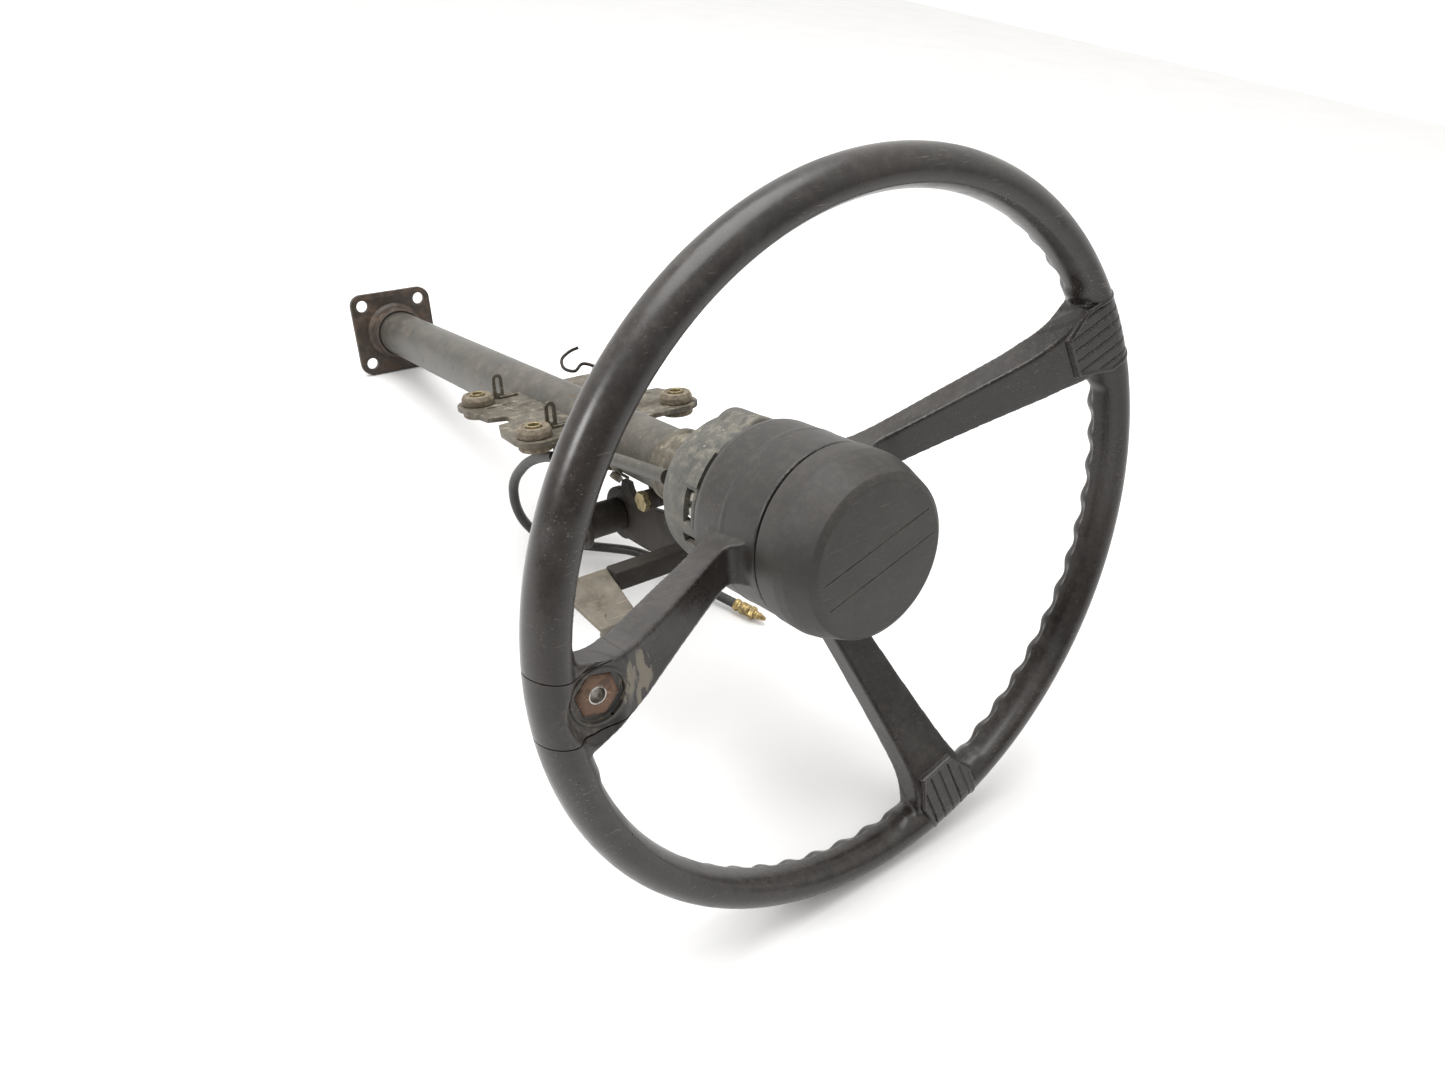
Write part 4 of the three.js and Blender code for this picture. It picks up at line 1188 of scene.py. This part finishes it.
WING_BOTTOM, WING_TOP = 6.5, 10  # the sheet that the isolators grip, as heights above the column's axis


def wing_side(near, far):
    """The right half of the bracket's outline, from its near edge to its far one."""
    low, high = span("mount_bracket")
    lobe = 15
    return [
        (46, low.y + 1), *arc((near.x, near.y), lobe, -90, 0, 10), (near.x + lobe - 1, near.y + 22),
        (near.x + 8, near.y + 38), (near.x - 5, near.y + 40), (near.x - 4, near.y + 52),
        (near.x + 8, near.y + 57), (far.x + lobe - 1, far.y - 8),
        *arc((far.x, far.y), lobe, 0, 90, 10), (far.x - 6, far.y + lobe - 1), (40, high.y),
    ]


def add_bracket():
    near, far = centre_of("isolator_near_right"), centre_of("isolator_far_right")
    side = wing_side(near, far)
    outline = side + [(-x, y) for x, y in reversed(side)]
    hole, slot_half_length, slot_half_width = 8, 4.4, 2.1
    holes = [circle(s * p.x, p.y, hole) for s in (-1, 1) for p in (near, far)]
    for s in (-1, 1):
        x, y = s * (far.x - 3.5), far.y - 15.4
        holes.append([(x + slot_half_length * u, y + slot_half_width * v) for u, v in circle(0, 0, 1, 24)])
        holes.append(circle(s * (far.x - 13), far.y - 15, 1.6, 16))
    wings = plate(outline, holes, WING_TOP - WING_BOTTOM, edge=0.35)
    moved(wings, shift(z=(WING_TOP + WING_BOTTOM) / 2))
    inner = reach("column_tube") + GAP
    low, high = span("mount_bracket")
    cut(wings, disc(inner + 1, low.y - 20, high.y + 20, segments=96, radius=0))
    saddle = ring(inner, inner + 3.2, low.y + 2, high.y - 2, segments=96)
    cut(saddle, box((-60, 60), (low.y - 40, high.y + 40), (WING_TOP, 60)))
    bracket = combined(wings, "UNION", saddle)
    piece(bracket, "column", "bracket_steel", "mount_bracket", crease=35)


def add_isolators():
    """Rubber grommets that grip the bracket's wings, each round a steel sleeve."""
    for where in ("near_left", "near_right", "far_left", "far_right"):
        low, high = span(f"isolator_{where}")
        middle, radius = (low + high) / 2, (high.y - low.y) / 2
        neck, bore = 7.7, 5.4
        rubber = turned(
            [
                (bore, low.z), (radius - 1, low.z), (radius, low.z + 1.2), (radius, WING_BOTTOM - GAP),
                (neck, WING_BOTTOM - GAP), (neck, WING_TOP + GAP), (radius, WING_TOP + GAP),
                (radius, high.z - 3.2), (radius - 1.4, high.z - 0.4), (bore + 2.6, high.z),
                (bore + 1.6, high.z - 0.9), (bore, high.z - 0.9),
            ],
            segments=56,
        )
        upright = (Matrix.Scale(-1, 4, (0, 1, 0)), ALONG_Z.inverted(), shift(middle.x, middle.y))
        piece(moved(rubber, *upright), "column", "isolator_rubber", f"isolator_{where}")
        low, high = span(f"isolator_sleeve_{where}")
        sleeve = ring(3.8, (high.y - low.y) / 2, low.z, high.z, segments=40, radius=0.4)
        name = f"isolator_sleeve_{where}"
        piece(moved(sleeve, *upright), "column", "zinc_yellow", name)


def add_cable_tabs():
    """Upright slotted tabs on bent feet."""
    for node in ("cable_tab_far", "cable_tab_near"):
        low, high = span(node)
        x, y = low.x + 4, (low.y + high.y) / 2
        height = high.z - low.z
        top = arc((0, height - 4), 4, 0, 180, 14)
        slot = arc((0, height - 4.2), 1.5, 0, 180, 10) + arc((0, 5.2), 1.5, 180, 360, 10)
        tab = moved(plate([(-4, 0), (4, 0), *top], [slot], 1.6, edge=0.3), ACROSS_Y)
        foot_length = high.x - low.x - 4
        foot = box((0, foot_length), (-2.5, 2.5), (0, 1.5), bevel=0.3)
        cut(foot, box((3.5, foot_length + 2), (-0.8, 0.8), (-1, 3)))
        whole = combined(tab, "UNION", foot)
        piece(moved(whole, shift(x, y, low.z)), "column", "bracket_steel", node)


# ------------------------------------------------------------------ stay rod, hook and hose
HOSE_RADIUS = 3.6


def add_hook():
    """A bent wire hook that stands on the right wing."""
    low, high = span("wire_hook")
    shape = [  # steps from the foot, which is the wire's lowest and outermost point
        (0, 0, 0), (-4, 4, 6.5), (-14, 9, 14.5), (-22, 15, 17.5), (-30, 13, 14), (-33, 24, 14.5),
        (-27, 38, 17.5), (-19, 40, 21.5), (-13, 37, 24),
    ]
    foot = Vector((high.x - 1, low.y + 0.7, low.z + 1))
    wire = rod([foot + Vector(step) for step in shape], 1.2, sides=4, smooth=8)
    piece(wire, "column", "rusty_steel", "wire_hook", crease=60)


def add_rod():
    low, high = span("stay_rod")
    radius = 4.4
    near = Vector((high.x - radius, low.y + 0.4, high.z - radius))
    far = Vector((low.x + radius, high.y - 0.3, low.z + radius))
    middle = (near + far) / 2 + Vector((-0.1, 0, 0.2))
    bar = rod([near, middle, far], radius, sides=8, smooth=6)
    piece(bar, "column", "column_paint", "stay_rod", crease=50)

    low, high = span("rod_clip")
    front, rear, tube = low.y, high.y, reach("column_tube")
    along = (high.y - near.y) / (far.y - near.y)
    eye = near.lerp(far, along - 0.04)
    outer_loop = disc(radius + 2.2, front, rear, segments=48, radius=0.3)
    loop = cut(outer_loop, disc(radius + 0.9, front - 5, rear + 5, segments=48, radius=0))
    moved(loop, shift(eye.x, 0, eye.z))
    strap = wedge(168, 240, tube + 0.5, tube + 2.4, front, rear)
    bridge = box((-28.6, -22), (front, rear), (1.6, 3.4))
    clip = fused(loop, strap, bridge, grain=0.45, smooth=3)
    screw_turn = 223
    at_screw = (shift(y=(front + rear) / 2), about_y(screw_turn))
    cut(clip, moved(disc(1.8, 15, 40, segments=24, radius=0), ALONG_X, *at_screw))
    piece(clip, "column", "bracket_steel", "rod_clip", crease=50)
    screw = combined(hexagon(4.2, tube + 2.7, tube + 7), "UNION", disc(1.5, tube + GAP, tube + 3, radius=0))
    piece(moved(screw, ALONG_X, *at_screw), "column", "bracket_steel", "clip_screw")


def hose_path():
    """The CAD hose's own middle line: the centre of each ring of its corners, in order along it."""
    corners = np.unique(points_of("hose").round(3), axis=0)
    start = corners[np.argmax(corners[:, 2])]
    path, left, here = [], corners, start
    while len(left):
        ring_of = np.linalg.norm(left - here, axis=1) < 2 * HOSE_RADIUS + 0.6
        centre = left[ring_of].mean(0)
        path.append(Vector(centre))
        left = left[~ring_of]
        if len(left):
            here = left[np.argmin(np.linalg.norm(left - centre, axis=1))]
    return path


def add_hose():
    hose = rod(hose_path(), HOSE_RADIUS, sides=8, smooth=6)
    piece(hose, "column", "hose_rubber", "hose", crease=60)
    start, tip = named_end("hose_ferrule")
    heading = (tip - start).normalized()
    turn = Vector((0, 1, 0)).rotation_difference(heading).to_matrix().to_4x4()
    length = (tip - start).length
    place = Matrix.Translation(start) @ turn
    ferrule = turned(
        [
            (0, 0), (4.2, 0), (4.6, 1), (4.6, 3), (4.0, 3.6), (4.0, 5.2), (4.6, 5.8),
            (4.6, length - 1.5), (4.0, length), (0, length),
        ],
        segments=48,
        radius=0.4,
    )
    piece(moved(ferrule, place), "column", "brass", "hose_ferrule")
    start, tip = named_end("hose_fitting")
    place = Matrix.Translation(start) @ turn
    length = (tip - start).length
    nipple = turned(
        [(0, 3.5), (3.2, 3.5), (3.2, 5.2), (2.6, 6), (2.6, 7), (3, 7.6), (1.2, length), (0, length)],
        segments=40,
        radius=0.3,
    )
    piece(moved(combined(hexagon(5, 0, 4), "UNION", nipple), place), "column", "brass", "hose_fitting")


def named_end(node):
    """The two ends of a turned piece's axis, found from its corners' longest direction."""
    corners = points_of(node)
    middle = corners.mean(0)
    _, _, directions = np.linalg.svd(corners - middle)
    axis = directions[0]
    if axis[1] > 0:
        axis = -axis
    along = (corners - middle) @ axis
    return Vector(middle + axis * along.min()), Vector(middle + axis * along.max())


# ------------------------------------------------------------------ tilt lock lever
PIVOT = COLUMN.inverted() @ Vector(named(frame["joints"], "tilt_lock")["pos_m"])
CLAMP = centre_of("clamp_spacer")


def length_of(node):
    """How far a CAD node reaches along X."""
    low, high = span(node)
    return high.x - low.x


def laid_along_x(made, finish, node):
    """A body drawn along Y from 0, put in its CAD node's place along X."""
    middle = centre_of(node)
    place = shift(middle.x - length_of(node) / 2, middle.y, middle.z)
    return piece(moved(made, ALONG_X, place), "column", finish, node)


def bolt_along_x(node, shank, head, head_height):
    """A hexagon bolt whose head is at its left end."""
    body = disc(shank, head_height - 1, length_of(node), segments=40, radius=0.8)
    laid_along_x(combined(hexagon(head, 0, head_height), "UNION", body), "zinc_yellow", node)


def nut_along_x(node, bore, corner):
    bore_tool = disc(bore, -5, 20, segments=32, radius=0)
    laid_along_x(cut(hexagon(corner, 0, length_of(node)), bore_tool), "zinc_yellow", node)


def plate_across_x(node, outline, holes, edge=0.5):
    return moved(plate(outline, holes, length_of(node), edge), ACROSS_X, shift(centre_of(node).x))


def add_pivot():
    y, z, radius = PIVOT.y, PIVOT.z, 17
    top = span("pivot_hanger")[1].z
    outline = [(y + 27, top), (y - 9, top), *arc((y, z), radius, -165, -20, 20)]
    hanger = plate_across_x("pivot_hanger", outline, [circle(y, z, 12.9)])
    piece(hanger, "column", "rusty_steel", "pivot_hanger")
    laid_along_x(ring(6.4, 12, 0, length_of("pivot_tube"), segments=64), "rusty_steel", "pivot_tube")
    bolt_along_x("pivot_bolt", shank=6, head=10.5, head_height=6.5)
    nut_along_x("pivot_nut", bore=6.3, corner=10.5)


def add_clamp():
    y, z = CLAMP.y, CLAMP.z
    outline = [(y + 13, -12), (y - 13, -12), *arc((y, z), 6.6, 180, 360, 20)]
    lug = plate_across_x("clamp_lug", outline, [circle(y, z, 4.1)])
    cut(lug, disc(reach("column_tube") + 0.5, y - 60, y + 60, segments=96, radius=0))
    piece(lug, "column", "rusty_steel", "clamp_lug")
    laid_along_x(ring(4.1, 6.6, 0, length_of("clamp_spacer"), segments=48), "rusty_steel", "clamp_spacer")
    bolt_along_x("clamp_bolt", shank=3.6, head=6.9, head_height=5)
    nut_along_x("clamp_nut", bore=4.1, corner=6.6)


def bowed(start, control, end, steps=10):
    """Points on a quadratic curve, without its first one."""
    a, b, c = Vector(start), Vector(control), Vector(end)
    shares = np.linspace(0, 1, steps + 1)[1:]
    return [tuple(a * (1 - t) ** 2 + b * 2 * t * (1 - t) + c * t ** 2) for t in shares]


def add_lever():
    y, z = PIVOT.y, PIVOT.z
    arm_low, arm_high = span("lever_arm")
    start, hollow = (y - 14, z + 27), (CLAMP.y + 12, z + 16.5)
    shoulder = (CLAMP.y - 5, z + 19.5)
    outline = [
        (y - 6, z + 27),
        start,
        *bowed(start, (y - 17, z + 13), hollow), *bowed(hollow, (CLAMP.y + 2, z + 17.5), shoulder),
        (CLAMP.y - 13, z + 18), (arm_high.y + 8, arm_high.z + 1), (arm_low.y, arm_high.z + 1),
        (arm_low.y, arm_low.z - 1), (arm_high.y, arm_low.z - 2), (y - 35, z - 17),
        *arc((y, z), 19, -115, 100, 40),
    ]
    lever = plate_across_x("lever_plate", outline, [circle(y, z, 6.3)], edge=0.7)
    piece(lever, "lever", "rusty_steel", "lever_plate")

    wall = 1.8
    sides = (arm_low.x, arm_high.x), (arm_low.y, arm_high.y), (arm_low.z, arm_high.z)
    hollow_sides = [(low + wall, high - wall) for low, high in sides[1:]]
    arm = cut(box(*sides, bevel=1.4), box((arm_low.x + wall, arm_high.x + 5), *hollow_sides))
    piece(arm, "lever", "rusty_steel", "lever_arm")

    width, foot_width, length, thickness, slope = 36, 26, 41, 3.5, 26.6
    outline = rounded([(0, 0), (-width, 0), (-foot_width, -length), (0, -length)], 2.5)
    face = moved(plate(outline, [], thickness, edge=0.8), shift(z=-thickness / 2))
    lip = box((-foot_width + 1, -1), (-length, -length + thickness), (-thickness - 6, -1), bevel=1.2)
    sloped = combined(face, "UNION", lip)
    left = arm_low.x - GAP
    moved(sloped, Matrix.Rotation(math.radians(slope), 4, "X"))
    moved(sloped, shift(left, arm_high.y - 2, arm_high.z))
    web_y, web_z = (arm_low.y, arm_high.y - 3), (arm_low.z, arm_high.z - 7)
    web = box((left - thickness, left), web_y, web_z, bevel=0.8)
    pad = fused(sloped, web, grain=0.7, smooth=2)
    piece(pad, "lever", "column_paint", "lever_pad", crease=50, paint=LEVER_PAINT)


# ------------------------------------------------------------------ inner pieces
def keep(node, finish):
    """A CAD piece whose shape is right: its edges are rounded and it gets its finish."""
    made = frame["nodes"][node]
    made.data.materials.clear()
    made.data.materials.append(FINISHES[finish])
    made.data.shade_smooth()
    weld = made.modifiers.new("weld", "WELD")
    weld.merge_threshold = 0.01 * MM
    edge = made.modifiers.new("edge", "BEVEL")
    edge.width = 0.35 * MM
    edge.segments = 2
    edge.limit_method = "ANGLE"
    edge.angle_limit = math.radians(35)
    edge.harden_normals = True


def keep_inner_pieces():
    keep("hub_boss", "bracket_steel")
    for node in ("steering_shaft", "shaft_nut_washer", "upper_bearing", "lower_bearing"):
        keep(node, "bright_steel")
    for node in ("bearing_retainer", "contact_post_1", "contact_post_2", "contact_post_3"):
        keep(node, "bright_steel")
    for node in ("shaft_nut", "horn_contact_plate"):
        keep(node, "zinc_yellow")
    keep("signal_cancel_cam", "white_plastic")
    keep("shaft_seal", "black_plastic")


# ------------------------------------------------------------------ floor, light and camera
def add_stage():
    """A white table top, a pale room and soft light from above."""
    half = 3
    floor = build([(-half, -half, 0), (half, -half, 0), (half, half, 0), (-half, half, 0)], [(0, 1, 2, 3)])
    floor.name = "floor"
    floor.data.materials.append(floor_paint())

    add_room()
    add_light("overhead", place=(-0.2, 0.3, 2.2), target=(0, 0, 0.1), size=2.0, power=40)
    add_light("from_left", place=(-1.9, 0.2, 1.3), target=(0, -0.3, 0.2), size=0.7, power=16)
    bpy.context.scene.view_settings.view_transform = "Standard"
    bpy.context.scene.view_settings.exposure = 0.1


def add_room():
    """Light from all round: bright overhead and beyond the object, dim low down behind the camera."""
    world = bpy.data.worlds.new("room")
    world.use_nodes = True
    tree = world.node_tree
    place = tree.nodes.new("ShaderNodeTexCoord")
    lean = tree.nodes.new("ShaderNodeVectorMath")
    lean.operation = "DOT_PRODUCT"
    brightest = Vector((0.45, 0.45, 0.77)).normalized()
    lean.inputs[1].default_value = brightest
    strength = tree.nodes.new("ShaderNodeMapRange")
    strength.interpolation_type = "SMOOTHSTEP"
    low, high, dim, bright = -0.35, 0.55, 0.3, 1.05
    for socket, value in zip(strength.inputs[1:5], (low, high, dim, bright)):
        socket.default_value = value
    tree.links.new(place.outputs["Generated"], lean.inputs[0])
    tree.links.new(lean.outputs["Value"], strength.inputs["Value"])
    background = tree.nodes["Background"]
    tree.links.new(strength.outputs[0], background.inputs["Strength"])
    background.inputs["Color"].default_value = (1.0, 0.99, 0.97, 1)
    bpy.context.scene.world = world


def add_light(name, place, target, size, power):
    data = bpy.data.lights.new(name, "AREA")
    data.shape = "DISK"
    data.size = size
    data.energy = power
    lamp = bpy.data.objects.new(name, data)
    lamp.location = place
    lamp.rotation_euler = (Vector(target) - Vector(place)).to_track_quat("-Z", "Y").to_euler()
    bpy.context.scene.collection.objects.link(lamp)


def add_camera():
    """The eye is in front of the wheel, to its left and above it."""
    eye_from_wheel = Vector((-0.3128, -0.2594, 0.2789))
    heading, pitch, roll = -39.35, 34.92, 6.06  # degrees: right of +Y, down, clockwise
    data = bpy.data.cameras.new("camera")
    data.sensor_width = 36
    data.lens = 24.9135
    camera = bpy.data.objects.new("camera", data)
    turn = Matrix.Rotation(math.radians(heading), 4, "Z")
    tilt = Matrix.Rotation(math.radians(90 - pitch), 4, "X")
    lean = Matrix.Rotation(math.radians(roll), 4, "Z")
    wheel_centre = Vector(named(frame["joints"], "wheel_turn")["pos_m"])
    camera.matrix_world = Matrix.Translation(wheel_centre + eye_from_wheel) @ turn @ tilt @ lean
    bpy.context.scene.collection.objects.link(camera)
    bpy.context.scene.camera = camera


FLANGE_PAINT = flange_paint()
LEVER_PAINT = lever_paint()
add_wheel()
add_horn_pad()
add_horn_spring()
add_tube()
add_flange()
add_housing()
add_switch()
add_bracket()
add_isolators()
add_cable_tabs()
add_hook()
add_rod()
add_hose()
add_pivot()
add_clamp()
add_lever()
keep_inner_pieces()
add_stage()
add_camera()
